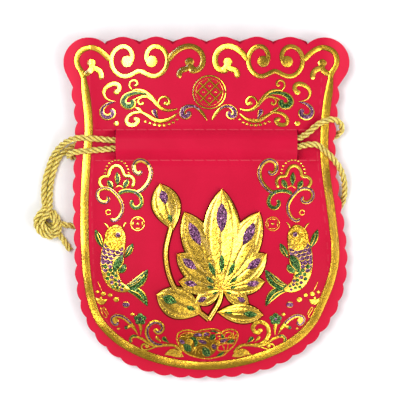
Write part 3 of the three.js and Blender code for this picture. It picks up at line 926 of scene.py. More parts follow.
# A closed strip along a line on the card; rows of heights run across it from edge to edge
def addStrip(foil, finish, line, widths, across, heights, lift=0.0, edge=None):
    spots = line[:, None] + leftOf(line)[:, None] * (across * widths[:, None] / 2)[..., None]
    flat = spots.reshape(-1, 2)
    z = frontTop(flat[:, 0], flat[:, 1]).reshape(heights.shape)
    z = z + heights + np.where(heights > 0, np.reshape(lift, (-1, 1)), 0.0)
    rows, columns = heights.shape
    foil["verts"].append(np.column_stack([flat, z.ravel()]))
    start = foil["count"]
    faces = [tuple(start + k for k in range(columns))]
    for i in range(rows - 1):
        here = start + i * columns
        for k in range(columns):
            n = (k + 1) % columns
            faces.append((here + k, here + columns + k, here + columns + n, here + n))
    faces.append(tuple(start + (rows - 1) * columns + k for k in reversed(range(columns))))
    colours = [foilOrder[finish]] * columns
    # the two bevel faces can take a finish of their own, painted dark as shade
    if edge is not None:
        colours[0] = colours[-2] = foilOrder[edge]
    foil["faces"] += faces
    foil["finish"] += [foilOrder[finish], *(colours * (rows - 1)), foilOrder[finish]]
    foil["count"] += rows * columns


def roundEnds(line, widths):
    reach = lengthsAlong(line)
    near = np.minimum(reach, reach[-1] - reach)
    share = np.clip(near / np.maximum(widths / 2, 1e-6), 0.0, 1.0)
    return widths * np.maximum(np.sqrt(1.0 - (1.0 - share) ** 2), foilSheet["leastEnd"])


# A strip with round ends, bevelled sides and an arched top
def pressStrip(foil, finish, line, widths, lift=0.0):
    widths = roundEnds(line, widths)
    bevel = foilSheet["inlayBevel"] if finish in ("green", "purple") else foilSheet["bevel"]
    shoulder = np.clip(1.0 - 2.0 * bevel / widths, foilSheet["leastTop"], 1.0)
    one = np.ones(len(line))
    across = np.column_stack([-one, -shoulder, 0 * one, shoulder, one])
    height = foilSheet["height"] * np.clip(widths / foilSheet["fullFrom"], foilSheet["leastHeight"], 1.0)
    low = -foilSheet["sunk"] * one
    arch = foilSheet["bandCrown"] if finish == "band" else foilSheet["crown"]
    rise = foilSheet["bandRise"] if finish == "band" else 0.0
    crest = height + arch * np.minimum(widths, foilSheet["crownTo"])
    heights = np.column_stack([low, height, crest, height + rise, low])
    # the bevels of wide strokes take the dark finish, as painted shade
    rim = "rim" if finish in ("gold", "band", "ground") and widths.max() > foilSheet["rimFrom"] else None
    addStrip(foil, finish, line, widths, across, heights, lift, rim)


def pressEven(foil, finish, line, width, lift=0.0):
    pressStrip(foil, finish, line, np.full(len(line), width), lift)


# One row of a chart: finish, how the width runs, width, and the points that the stroke goes through.
# A mirrored stroke has its inlay on the other hand, and base is the finish of the chart's gold.
def pressStroke(foil, finish, form, width, points, hand=1.0, base="gold"):
    line = smoothLine(onCard(points), foilSheet["step"])
    widths = width * foilSheet["unit"] * strokeForms[form](np.linspace(0.0, 1.0, len(line)))
    if finish in overlays:
        pressStrip(foil, overlays[finish], line, widths, foilSheet["lineLift"])
        return
    pressStrip(foil, base if finish == "gold" or finish in inlays else finish, line, widths)
    if finish in inlays:
        colour, share, shift = inlays[finish]
        inner = line + leftOf(line) * (hand * shift * widths)[:, None]
        pressStrip(foil, colour, inner, share * widths, foilSheet["inlayLift"])


def acrossDot(x, y, radius):
    reach = foilSheet["dotReach"] * radius
    return [(x - reach, y), (x, y), (x + reach, y)]


def pressDot(foil, finish, x, y, radius, base="gold"):
    pressStroke(foil, finish, "even", 2.0 * radius, acrossDot(x, y, radius), base=base)


def pressDisc(foil, finish, x, y, radius, lift):
    line = smoothLine(onCard(acrossDot(x, y, radius)), foilSheet["dotStep"])
    pressEven(foil, finish, line, 2.0 * radius * foilSheet["unit"], lift)


def pressRing(foil, x, y, radius, width, step=15):
    turn = np.radians(np.arange(0, 361, step))
    points = np.column_stack([x + radius * np.cos(turn), y + radius * np.sin(turn)])
    pressStroke(foil, "gold", "even", width, points)


# Round petals about a raised middle; places and sizes are shares of the blossom's radius
blossom = {"petals": 5, "petalAt": 0.52, "petal": 0.48, "heart": 0.24, "heartLift": 0.2}


def pressBlossom(foil, finish, x, y, radius, base="gold"):
    for k in range(blossom["petals"]):
        turn = math.radians(360.0 / blossom["petals"] * k - 90.0)
        spotX = x + blossom["petalAt"] * radius * math.cos(turn)
        spotY = y + blossom["petalAt"] * radius * math.sin(turn)
        pressDot(foil, finish, spotX, spotY, blossom["petal"] * radius, base)
    pressDisc(foil, "purple", x, y, blossom["heart"] * radius, blossom["heartLift"])


# The other side of a chart; its middle is pulled aside a little, as on the real card
def mirrored(chart, x):
    off = chart["mirrorAt"] - x
    pull = chart.get("middleShift", 0.0) * np.maximum(0.0, 1.0 - off / foilSheet["middleReach"])
    return chart["mirrorAt"] + off + pull


# A place or points of a chart on the side that is drawn (hand 1) or on the mirrored one (hand -1)
def sideX(chart, x, hand):
    return x if hand > 0 else mirrored(chart, x)


def sidePoints(chart, points, hand):
    return [(sideX(chart, x, hand), y) for x, y in points]


# Strokes, dots, rings and blossoms of a chart, and their mirror image where the chart has a mirror line.
# A stroke with a pair of finishes has the second one on the mirrored side.
def pressChart(foil, chart):
    base = chart.get("base", "gold")
    for hand in (1.0, -1.0) if "mirrorAt" in chart else (1.0,):
        for finish, form, width, points in chart.get("strokes", []):
            if isinstance(finish, tuple):
                finish = finish[0] if hand > 0 else finish[1]
            pressStroke(foil, finish, form, width, sidePoints(chart, points, hand), hand, base)
        for finish, x, y, radius in chart.get("dots", []):
            pressDot(foil, finish, sideX(chart, x, hand), y, radius, base)
        for x, y, radius, width in chart.get("rings", []):
            pressRing(foil, sideX(chart, x, hand), y, radius, width)
        for finish, x, y, radius in chart.get("blossoms", []):
            pressBlossom(foil, finish, sideX(chart, x, hand), y, radius, base)


def finishFoil(name, foil):
    verts = np.vstack(foil["verts"])
    piece = addPiece(name, verts, foil["faces"], foilFinishes, foil["finish"], foilSheet["sharpAngle"])
    return piece


def addChart(name, chart):
    foil = newFoil()
    pressChart(foil, chart)
    return finishFoil(name, foil)


# A stroke that runs on into its own mirror image
def runOn(points, mirrorAt):
    return points + [(2.0 * mirrorAt - x, y) for x, y in reversed(points[:-1])]


borderBand = {
    "strokes": [
        ("band", "border", 8.8, [
            (82.6, 70), (85.6, 92), (88.3, 116), (88.8, 133), (86.9, 157), (85.6, 179), (84.6, 200),
            (84.6, 228), (85.5, 256), (87.2, 276), (90.9, 298), (98.9, 319.5), (115.7, 338.1),
            (138.9, 352.1), (165, 361), (195, 365.6), (222, 365), (247.6, 360.4), (276.5, 350.2),
            (298.2, 337.5), (313, 321.4), (322.5, 302.2), (330.5, 282), (335, 262), (335.3, 245),
            (333.1, 225), (329.9, 200), (326.7, 178), (324.4, 155), (324.5, 138), (325.5, 118),
            (327.7, 100), (330.1, 84), (331.5, 70),
        ]),
    ],
}
cloudScroll = {
    "mirrorAt": 207.0,
    "middleShift": 4.4,
    "strokes": [
        ("band", "even", 5.9, [
            (84.4, 80), (81.4, 71.6), (77.8, 65.4), (77, 58.6), (79.6, 52.6), (85.2, 48.8), (91.8, 47.6),
            (98.6, 50), (105, 55), (110.6, 61),
        ]),
        ("gold", "even", 6.4, [(83.0, 74.6), (87.4, 73), (90.6, 70.6), (92.0, 67), (91.8, 63)]),
        ("gold", "even", 6.0, [
            (91.4, 63), (93.2, 67.6), (97.2, 69.6), (100.4, 72.2), (101.4, 76), (100.6, 79.8),
        ]),
        ("gold", "even", 5.2, runOn([
            (129.4, 64.4), (132.0, 60.4), (132.4, 55.4), (129.9, 50.2), (125.4, 47.4), (120.2, 47.7),
            (115.5, 50.7), (112.3, 55.8), (111.5, 61.8), (113, 68.2), (116.8, 73.4), (121.6, 76.4),
            (126.6, 76.8), (132, 75), (136.2, 72.8), (139.6, 71.8),
        ], 139.6)),
        ("gold", "even", 6.2, [
            (167.6, 62), (172.6, 55.6), (178.8, 50.4), (185.8, 47.4), (192.8, 47.6), (198.8, 50.8),
            (202.4, 56.4), (203, 62.8), (200.4, 68.6), (195, 71.4), (189, 70.6),
        ]),
        ("gold", "even", 6.6, [(189.8, 62.4), (190.6, 66.6), (193.4, 70), (197.6, 70.4)]),
        ("gold", "even", 6.2, [
            (189.8, 62.4), (189.4, 66.8), (186.4, 69.6), (182, 70.8), (179.4, 74), (180, 78.8),
        ]),
    ],
    "dots": [
        ("gold", 127.3, 62.2, 6.1), ("gold", 151.9, 62.2, 6.1), ("gold", 91.6, 63.2, 4.5),
        ("gold", 189.6, 62.8, 4.7),
    ],
}
flapVines = {
    "mirrorAt": 207.0,
    "middleShift": 4.8,
    "strokes": [
        ("gold", "point", 5.2, [
            (116.4, 93), (119.4, 90), (119.0, 86), (115.2, 84.2), (110.2, 85.4), (105.6, 88.8),
            (104, 93.4), (105.8, 98), (110, 100.8), (116.4, 101.9),
        ]),
        ("purple", "grow", 7.0, [
            (115, 102), (107.6, 104.4), (102.8, 108.6), (102, 113), (104.6, 116.6), (108.8, 117.4),
            (112.6, 115.2), (112.8, 111.8), (109.8, 111),
        ]),
        ("gold", "wane", 4.4, [
            (131.2, 91.6), (137, 90.4), (144.3, 92), (150.6, 96.8), (156.6, 104.2), (163, 109.6),
            (170, 111), (177.8, 109.2),
        ]),
        ("green", "grow", 7.8, [
            (147, 94.6), (138.4, 93.4), (130.4, 94.6), (125, 98.2), (123.6, 102.8), (126.6, 106.2),
            (131.2, 106.2), (133.2, 103), (130.6, 101),
        ]),
        ("gold", "wane", 2.9, [(131.6, 102), (138, 98.4), (146, 96.8), (152.6, 101.4), (157.4, 106.4)]),
        ("gold", "curl", 3.2, [
            (142.2, 102.2), (143.2, 104), (140, 104.8), (138.4, 101.6), (141.2, 98.4), (148, 97.6),
        ]),
        ("gold", "curl", 3.4, [
            (134, 85.6), (136.8, 86), (137.3, 82.8), (134.4, 80.8), (130.6, 82.4), (129.8, 87), (133, 91),
        ]),
        ("gold", "curl", 3.6, [
            (165.6, 104.4), (168.4, 105), (169.8, 101.6), (167, 98), (162.4, 97.8), (159, 101.6),
            (158.6, 106.6),
        ]),
        ("gold", "leaf", 3.8, [(134.4, 107.2), (138.4, 109.4), (143, 112.6)]),
        ("gold", "curl", 5.2, [
            (136, 118.8), (138.4, 120.6), (136.2, 124.2), (131.4, 125.3), (127.3, 123.6), (127, 119.6),
            (130.2, 115.4), (136, 113), (144.4, 112.6),
        ]),
        ("gold", "wane", 4.6, [
            (139, 111), (148, 116.2), (156.6, 121), (165.4, 121), (172, 118.2), (177.6, 113.8),
        ]),
        ("purple", "drop", 7.4, [(154.3, 109.4), (155.3, 114), (158.8, 120)]),
        ("purple", "grow", 6.8, [
            (200.4, 110.6), (193.6, 107), (186.8, 107.6), (182.6, 111.4), (182.8, 115.8), (186.6, 117),
            (189, 114.4), (187, 112.2),
        ]),
        ("gold", "wane", 4.0, [(191, 106.4), (198.4, 109.6), (203.4, 115), (207, 121)]),
    ],
    "dots": [
        ("gold", 116.7, 123.8, 2.9), ("gold", 116.8, 92.6, 3.0), ("gold", 166, 104, 2.4),
        ("gold", 136.2, 119.6, 2.5), ("gold", 145.6, 122.1, 1.6), ("gold", 150.2, 123.8, 1.7),
        ("gold", 155.1, 125.2, 1.8), ("gold", 159.8, 125.7, 1.9), ("gold", 164.6, 125.7, 1.8),
        ("gold", 169.4, 124.7, 1.7), ("gold", 173.4, 123, 1.6), ("gold", 177.2, 120, 1.5),
    ],
}
cornerLotus = {
    "mirrorAt": 205.2,
    "strokes": [
        ("gold", "even", 3.9, [
            (103.4, 187.8), (99.9, 184), (100, 179.8), (103.2, 177), (108.4, 176), (109.6, 171.4),
            (112.4, 167.4), (116.2, 165.8), (120.3, 167.2), (123.2, 171.6), (125.2, 176), (130.6, 176.6),
            (133.8, 179.8), (133.7, 184.4), (132.2, 187.8),
        ]),
        ("green", "leaf", 6.6, [(118.1, 186.2), (117.9, 180), (117.5, 172)]),
        ("green", "leaf", 6.8, [(113.2, 189), (110.6, 185), (108, 180.2)]),
        ("green", "leaf", 6.8, [(123.2, 189), (126, 184.6), (128.6, 179)]),
        ("gold", "wane", 1.8, [(114.6, 188.8), (119.6, 185.8), (124.6, 188.8)]),
        ("purpleSide", "even", 5.0, [
            (142, 170.8), (139.4, 174), (135.4, 172), (134.1, 166.6), (136.2, 162.4), (141.2, 160.6),
            (147.4, 163.6), (151.2, 171.2), (149.7, 180.2), (145.2, 187), (139.6, 191.6), (134, 193),
        ]),
        ("purpleSide", "even", 4.5, [
            (107.2, 196.6), (108.6, 199.8), (106.4, 202.2), (102, 202), (98.2, 198.5), (97.6, 193.4),
            (100.1, 189.8), (104.8, 188.4), (110.4, 189.6), (115.6, 193.8), (120.2, 199.8),
            (122.8, 206.6), (121.6, 213.6), (118, 218.8), (113.8, 220.6), (110.8, 218.4),
        ]),
        ("green", "even", 4.9, [
            (118.4, 194), (123.8, 191.4), (130.2, 191), (136.6, 192.8), (141, 197.4), (142, 203.2),
            (139.3, 207.2), (135, 208), (132, 204.8), (132.2, 201.6), (134.2, 200.8),
        ]),
    ],
    "rings": [(108.6, 212.4, 2.5, 1.7)],
}
dottedArch = {"x": 117.2, "y": 173, "radiusX": 11.8, "radiusY": 12.6, "dots": 12, "size": 1.3}
coin = {
    "mirrorAt": 205.2, "x": 138.0, "y": 223.8, "radius": 7.6, "ring": 1.6, "heart": 1.6,
    "leafAt": 4.3, "leafWidth": 2.1, "leafHalf": 3.0, "leafBow": 0.5,
}
medallion = {
    "x": 209.5, "y": 92.8, "radius": 16.3, "ring": 2.3, "innerGap": 2.8, "innerRing": 0.9, "ringStep": 10,
    "bar": 2.4, "bars": 3, "gap": 8.6, "slants": (45.0, 135.0), "dotAt": 6.1, "dot": 1.5,
}
carp = {
    "mirrorAt": 206.6,
    # x, y and width of the body along its back, head first
    "body": [
        (117.4, 224.6, 12), (116.8, 229, 18), (115.8, 235, 21.5), (115, 243, 22.5), (113.4, 250, 24),
        (111.4, 258, 22.5), (110.6, 266, 20.5), (111.2, 274, 18), (114, 281, 15.5), (119, 286, 12.4),
        (125.4, 288.4, 8.4), (130, 288.8, 4.2),
    ],
    "bodyStep": 0.4,
    "bodyLift": 0.06,
    "eye": (118.4, 234.6),
    # finish, radius and lift
    "eyeDiscs": [("rim", 4.2, 0.50), ("gold", 3.5, 0.57), ("purple", 2.7, 0.64)],
    # finish, width and lift, where the width is millimetres too
    "finLayers": [("gold", 4.6, 0.42), ("green", 3.5, 0.50)],
    "rayLook": ("gold", 0.5, 0.50),
    "creaseLook": ("rim", 0.7, 0.54),
    "strokes": [
        ("greenFin", "leaf", 7.6, [(103.4, 248.6), (99.4, 240), (95.4, 229.4)]),
        ("greenFin", "leaf", 7.6, [(125, 258), (129, 251.6), (133.4, 243.2)]),
        ("greenFin", "leaf", 8.0, [(117, 272), (122.4, 269.4), (126, 264)]),
        ("greenFin", "leaf", 11.5, [(122, 288), (134.6, 284.6), (142, 278.6), (148.2, 269.4)]),
        ("greenFin", "leaf", 10.0, [(122, 288.6), (135, 290.6), (143, 297), (147.8, 306)]),
        ("gold", "wane", 2.4, [(109.4, 229.6), (107.2, 225.6), (104, 222.8)]),
        ("gold", "wane", 2.4, [(123.6, 228.4), (124.6, 224.6), (127.2, 222)]),
    ],
    "sideFin": [(113.4, 271.6), (117.6, 264), (123.4, 254.8)],
    "rays": [
        [(102.6, 246), (99.6, 240), (96.8, 233)], [(126.2, 256), (129, 251.8), (132, 246.4)],
        [(115.2, 268.6), (118, 263.4), (121.8, 257.6)], [(130, 286.6), (138, 282), (145, 274.4)],
        [(128, 284.6), (135, 282), (141.4, 276)], [(130, 289.6), (138.6, 293.4), (145.4, 301.4)],
    ],
    "creases": [
        [(110.6, 228.6), (114, 227.2), (119, 227.2), (123, 229)],
        [(108.6, 232), (107.6, 236), (107.8, 240.4)],
    ],
}
scales = {
    "from": 9.6,  # lengths along the back from the head, in mm
    "purpleFrom": 6.1,
    "purpleTo": 21.5,
    "cellsFrom": 17.5,
    "headTo": 11.1,
    "bareTail": 3.0,
    "rowStep": 1.6,
    "pitch": 2.1,
    "leastPitch": 0.4,  # scales are smaller where the body is narrow
    "pitchWidth": 14.0,
    "points": 7,
    "line": 0.48,
    "cover": 0.92,  # share of the body's width
    "headCover": 0.98,
    "purpleEvery": 3,
    "purpleLift": 0.16,
    "rearLift": 0.20,
    "cellLift": 0.34,
    "lineLift": 0.42,
    "headLift": 0.34,
}
ingots = {
    "mirrorAt": 207.9,
    "base": "ground",
    "strokes": [
        ("gold", "leaf", 6.4, [(95.6, 297.8), (101.2, 302), (107.4, 299.4)]),
        ("gold", "even", 5.0, [(99.6, 298), (102.4, 298)]),
        ("gold", "even", 1.5, [
            (100.6, 306.9), (102, 312.5), (105.4, 317.6), (107.2, 316.6), (102.9, 308.4), (104, 307.2),
            (108.8, 315),
        ]),
        ("gold", "wane", 1.3, [(97.6, 281), (100, 286.4), (102.2, 291)]),
    ],
    "dots": [
        ("gold", 97.5, 291.9, 2.0), ("gold", 103.5, 293.8, 2.7), ("gold", 110.3, 295, 2.4),
        ("gold", 116.6, 299.4, 3.0), ("purple", 126.3, 304.4, 3.7),
    ],
}
lowerVines = {
    "mirrorAt": 207.9,
    "base": "ground",
    "strokes": [
        ("purpleSide", "even", 4.8, [
            (116.6, 321.2), (117.6, 323.6), (115.2, 324.2), (112.2, 321), (113, 317.6), (116.8, 315.9),
            (122.1, 316.6), (127.4, 320.1), (131.6, 324.6),
        ]),
        ("gold", "point", 4.6, [(128, 320.6), (132.2, 325.1), (135.6, 330), (138.2, 335)]),
        ("gold", "comma", 5.2, [(126.2, 327.6), (129, 326.6), (132.6, 326.4)]),
        ("gold", "point", 4.0, [(139.6, 322), (141, 328), (140.8, 335.6)]),
        (("purpleSide", "gold"), "even", 4.9, [
            (155.4, 330.2), (157.2, 332.2), (160.4, 331.8), (163, 328), (160.8, 323.2), (154.8, 321.6),
            (149.4, 324.8), (147, 331), (148.4, 337.6), (152, 342), (156.4, 344.6), (163, 345.2),
        ]),
        ("gold", "drop", 4.8, [(156, 336), (157.8, 338.4), (161.4, 341.8)]),
        ("green", "drop", 7.0, [(162.8, 336.6), (165, 339.3), (169.2, 342.8)]),
        ("greenSide", "even", 4.2, [(132, 342.6), (130.6, 339.6), (132.8, 336.4), (137.6, 336.6)]),
        ("gold", "even", 3.4, [(136.4, 336.3), (143.5, 339.4), (148.9, 343.6), (156, 345.8), (165, 345)]),
        ("gold", "even", 3.6, [(160, 345.2), (168, 344.8), (173.2, 345), (177.4, 347.2), (182, 352.4)]),
        ("goldLine", "wane", 1.1, [(150, 342.6), (157, 345.2), (166, 345), (173, 345.2), (180, 350)]),
        ("gold", "curl", 3.1, [
            (147.8, 346.8), (146.2, 344.6), (143.2, 344.2), (141.6, 346.6), (142.8, 349.2),
            (146.8, 349.8), (151.6, 348.3), (157, 346.6), (163, 345.4),
        ]),
        ("ground", "leaf", 9.0, [(164.6, 354.9), (172.6, 352.4), (183.6, 356.6)]),
        ("goldLine", "wane", 1.5, [
            (165.4, 354.2), (169.6, 350.4), (176, 350), (180.6, 352.6), (183.6, 356),
        ]),
    ],
    "dots": [
        ("gold", 115.9, 320.8, 3.2), ("greenPatch", 126.2, 327.6, 1.9), ("gold", 118.6, 328.7, 1.7),
        ("gold", 132.5, 314, 2.1), ("gold", 156, 330.2, 2.7), ("gold", 147.2, 346.4, 2.2),
    ],
    "blossoms": [("greenFin", 140.4, 318.8, 6.6)],
}
blossomHeap = {
    "base": "ground",
    "groundLift": -0.12,
    # x, y and width of the dark ground, from left to right
    "ground": [
        (179, 338, 9), (183, 339.6, 16), (188, 342, 21.5), (194, 344.2, 23.5), (200, 344.4, 26),
        (206, 344.2, 27.5), (211, 343, 26), (215.4, 340.2, 18),
    ],
    "strokes": [
        ("gold", "even", 2.2, [
            (205.4, 358.8), (198.7, 357.6), (191.5, 355.5), (185.8, 352.6), (181, 347.8), (177.9, 342.1),
            (176.9, 337.3), (178.1, 333.5), (181.5, 330.9), (185.8, 329.8), (190.6, 329.9),
            (195.4, 331.3), (200.6, 330.1), (206.4, 328.9), (212.6, 328.5), (217.8, 329.4), (221.4, 332),
            (225, 329.9), (230.3, 328.9), (235.6, 330.4), (237.7, 333.5), (237.5, 337.3), (235.6, 342.1),
            (232.7, 346.4), (227.9, 351.2), (223.6, 355), (217.8, 356.9), (211.6, 358.4), (205.4, 358.8),
        ]),
        ("gold", "even", 1.5, [(178, 338.4), (182, 336), (186, 336.6), (189, 337.8)]),
        ("gold", "even", 1.5, [(180, 335.4), (184, 332.8), (189, 332), (195, 333.6)]),
        ("gold", "even", 1.5, [(185.6, 335), (189.2, 333.2), (193, 334.6), (189.6, 336.4), (185.6, 335)]),
        ("purpleFin", "leaf", 5.4, [(179.4, 339.8), (181.8, 341.2), (184.8, 343)]),
        ("purpleFin", "wane", 5.0, [(193.6, 335.6), (197.6, 334.2), (202, 335)]),
        ("purpleFin", "wane", 4.6, [(203.8, 336), (206, 333.8), (209.4, 334.4)]),
        ("purpleFin", "leaf", 5.4, [(198, 340.2), (202.4, 341.4), (207, 343.2)]),
        ("purpleFin", "leaf", 6.2, [(211.8, 344), (213.8, 346), (215.8, 349)]),
        ("greenFin", "wane", 5.6, [(190.4, 337.6), (194.6, 339), (196, 342.6), (195, 346.6)]),
        ("greenFin", "leaf", 9.6, [(184, 343.6), (187.2, 347), (190.8, 351.6)]),
        ("greenFin", "leaf", 7.6, [(209.6, 339.2), (212.4, 337), (215, 334)]),
        ("greenFin", "wane", 2.6, [(209.4, 331), (214, 330.8), (219, 333)]),
        ("gold", "leaf", 4.4, [(184, 351), (182, 346.6), (181, 343.6)]),
        ("gold", "leaf", 4.6, [(192.6, 352.4), (193.4, 349.2), (196.6, 346)]),
        ("gold", "curl", 1.6, [
            (199.8, 353.6), (198.4, 351.6), (199.8, 349.6), (202.2, 350.6), (202, 353.6),
        ]),
        ("greenFin", "leaf", 10.4, [(203, 346.6), (206, 351.4), (209.8, 356.6)]),
        ("gold", "even", 1.6, [
            (195.2, 354), (196.6, 348.4), (200.4, 345.4), (205, 345.6), (208.8, 348.8), (211.2, 354),
        ]),
        ("gold", "even", 1.5, [
            (197, 340), (201, 338.8), (206, 339.8), (209.2, 342.6), (204, 344.4), (199.4, 342.8),
            (197, 340),
        ]),
        ("gold", "even", 1.5, [
            (196, 337.4), (202.6, 337), (203.4, 333.4), (207, 331.6), (210.6, 333.2), (210, 336.6),
            (206.4, 337.2),
        ]),
        ("gold", "even", 1.6, [(209.6, 340.4), (213.4, 341.2), (211, 346), (212, 349.8), (214.6, 350.8)]),
        ("gold", "even", 2.0, [
            (213.4, 341), (217.4, 340.2), (221.4, 338.2), (226.4, 337.6), (231.6, 337.4),
        ]),
        ("gold", "even", 2.0, [(215.8, 339), (214.8, 335), (218, 332.8), (222, 333.4), (224.6, 337)]),
        ("green", "leaf", 5.0, [(221, 334), (222.4, 335.8), (223.4, 338.4)]),
        ("gold", "even", 1.9, [
            (224.2, 336.8), (225.2, 333.2), (229.8, 331.8), (231.2, 334.2), (228, 336.8),
        ]),
        ("gold", "wane", 2.1, [(231.4, 337.4), (232.8, 334.4), (233.6, 331.6)]),
        ("gold", "wane", 2.1, [(231.8, 337.6), (234.4, 335.8), (237, 333.8)]),
        ("gold", "wane", 2.1, [(231.8, 338), (234.6, 337.8), (237.2, 337.4)]),
        ("green", "leaf", 6.0, [(226.8, 341.8), (231, 340.8), (235, 340.2)]),
        ("purple", "leaf", 6.0, [(219.4, 342), (223.4, 340.4), (227.4, 339)]),
        ("gold", "leaf", 4.2, [(215.8, 345), (218.2, 342.8), (220.8, 341)]),
        ("gold", "even", 2.0, [
            (228, 350.4), (221, 351), (217.6, 349.4), (217.8, 346.2), (221.4, 344), (227, 343),
            (234, 343.4),
        ]),
        ("gold", "wane", 1.8, [(224.6, 350.4), (223.8, 347.4), (222.2, 344.6)]),
        ("gold", "wane", 1.8, [(226.8, 350), (227.8, 346.8), (228, 343.4)]),
        ("green", "leaf", 4.6, [(216.4, 356.4), (220.6, 354.2), (224.6, 351.6)]),
    ],
    "dots": [("gold", 218.6, 336, 1.5), ("gold", 189.2, 341.8, 4.2), ("darkLine", 189.2, 341.8, 1.3)],
}


quarterTurns = np.radians([0.0, 90.0, 180.0, 270.0])


def addCoins():
    foil = newFoil()
    y = coin["y"]
    for x in (coin["x"], mirrored(coin, coin["x"])):
        pressRing(foil, x, y, coin["radius"] - coin["ring"] / 2, coin["ring"])
        pressDot(foil, "gold", x, y, coin["heart"])
        for turn in quarterTurns:
            out = np.array([math.cos(turn), math.sin(turn)])
            along = coin["leafHalf"] * np.array([-out[1], out[0]])
            middle = np.array([x, y]) + coin["leafAt"] * out
            points = [middle - along, middle + coin["leafBow"] * out, middle + along]
            pressStroke(foil, "gold", "leaf", coin["leafWidth"], points)
    return finishFoil("foil_coins", foil)


# A round frame filled with a plain slanting lattice
def addMedallion():
    foil = newFoil()
    x, y, radius = medallion["x"], medallion["y"], medallion["radius"]
    inner = radius - medallion["innerGap"]
    pressRing(foil, x, y, radius, medallion["ring"], medallion["ringStep"])
    pressRing(foil, x, y, inner, medallion["innerRing"], medallion["ringStep"])
    for slant in np.radians(medallion["slants"]):
        along = np.array([math.cos(slant), math.sin(slant)])
        off = np.array([-along[1], along[0]])
        for k in range(medallion["bars"]):
            shift = (k - (medallion["bars"] - 1) / 2) * medallion["gap"]
            half = along * math.sqrt(inner**2 - shift**2)
            centre = np.array([x, y]) + off * shift
            pressStroke(foil, "rim", "even", medallion["bar"], [centre - half, centre, centre + half])
    dotAt = medallion["dotAt"]
    for turn in quarterTurns:
        pressDot(foil, "gold", x + dotAt * math.cos(turn), y + dotAt * math.sin(turn), medallion["dot"])
    return finishFoil("foil_medallion", foil)


# A ground along the body, purple near the head and gold near the tail, with cells and gold scales over it
def layScales(foil, back, hand):
    reach = lengthsAlong(back[:, :2])
    heading = unit(np.gradient(back[:, :2], axis=0))
    off = leftOf(back[:, :2]) * hand
    shoulder = back[(reach > scales["purpleFrom"]) & (reach < scales["purpleTo"])]
    rear = back[reach > scales["cellsFrom"]]
    head = back[reach < scales["headTo"]]
    pressStrip(foil, "purple", shoulder[:, :2], scales["cover"] * shoulder[:, 2], scales["purpleLift"])
    pressStrip(foil, "gold", rear[:, :2], scales["cover"] * rear[:, 2], scales["rearLift"])
    turn = np.linspace(-0.5, 0.5, scales["points"])[:, None] * math.pi
    for row, at in enumerate(np.arange(scales["from"], reach[-1] - scales["bareTail"], scales["rowStep"])):
        i = int(np.searchsorted(reach, at))
        wide = back[i, 2]
        pitch = scales["pitch"] * min(1.0, scales["leastPitch"] + wide / scales["pitchWidth"])
        count = max(1, int(wide / pitch) - row % 2)
        half = 0.5 * pitch * heading[i]
        for k in range(count):
            middle = back[i, :2] + off[i] * (k - (count - 1) / 2) * pitch
            bend = middle + pitch / 2 * (np.sin(turn) * off[i] + np.cos(turn) * heading[i])
            if at > scales["cellsFrom"]:
                cell = np.linspace(middle - half, middle + half, scales["points"])
                colour = "purple" if (row + k) % scales["purpleEvery"] == 0 else "green"
                pressEven(foil, colour, cell, pitch, scales["cellLift"])
            pressEven(foil, "gold", bend, scales["line"], scales["lineLift"])
    pressStrip(foil, "ground", head[:, :2], scales["headCover"] * head[:, 2], scales["headLift"])


def addCarp():
    foil = newFoil()
    for hand in (1.0, -1.0):
        rows = [(sideX(carp, x, hand), y, width) for x, y, width in carp["body"]]
        back = bodyOnCard(rows, carp["bodyStep"])
        for finish, form, width, points in carp["strokes"]:
            pressStroke(foil, finish, form, width, sidePoints(carp, points, hand))
        pressStrip(foil, "ground", back[:, :2], back[:, 2], carp["bodyLift"])
        layScales(foil, back, hand)
        fin = smoothLine(onCard(sidePoints(carp, carp["sideFin"], hand)), foilSheet["step"])
        leaf = strokeForms["leaf"](np.linspace(0.0, 1.0, len(fin)))
        for finish, width, lift in carp["finLayers"]:
            pressStrip(foil, finish, fin, width * leaf, lift)
        for lines, look in (("rays", "rayLook"), ("creases", "creaseLook")):
            finish, width, lift = carp[look]
            for points in carp[lines]:
                line = smoothLine(onCard(sidePoints(carp, points, hand)), foilSheet["step"])
                pressEven(foil, finish, line, width, lift)
        eyeX, eyeY = carp["eye"]
        for finish, radius, lift in carp["eyeDiscs"]:
            pressDisc(foil, finish, sideX(carp, eyeX, hand), eyeY, radius, lift)
    return finishFoil("foil_carp", foil)


def addCornerLotus():
    foil = newFoil()
    pressChart(foil, cornerLotus)
    for x in (dottedArch["x"], mirrored(cornerLotus, dottedArch["x"])):
        for turn in np.radians(np.linspace(180.0, 360.0, dottedArch["dots"])):
            spotX = x + dottedArch["radiusX"] * math.cos(turn)
            spotY = dottedArch["y"] + dottedArch["radiusY"] * math.sin(turn)
            pressDot(foil, "gold", spotX, spotY, dottedArch["size"])
    return finishFoil("foil_corner_lotus", foil)


def addBlossomHeap():
    foil = newFoil()
    ground = bodyOnCard(blossomHeap["ground"], foilSheet["step"])
    pressStrip(foil, "rim", ground[:, :2], ground[:, 2], blossomHeap["groundLift"])
    pressChart(foil, blossomHeap)
    return finishFoil("foil_blossom_heap", foil)


addChart("foil_border", borderBand)
addChart("foil_cloud_scroll", cloudScroll)
addChart("foil_flap_vines", flapVines)
addMedallion()
addCornerLotus()
addCoins()
addCarp()
addChart("foil_ingots", ingots)
addChart("foil_lower_vines", lowerVines)
addBlossomHeap()
print("foil print pressed")


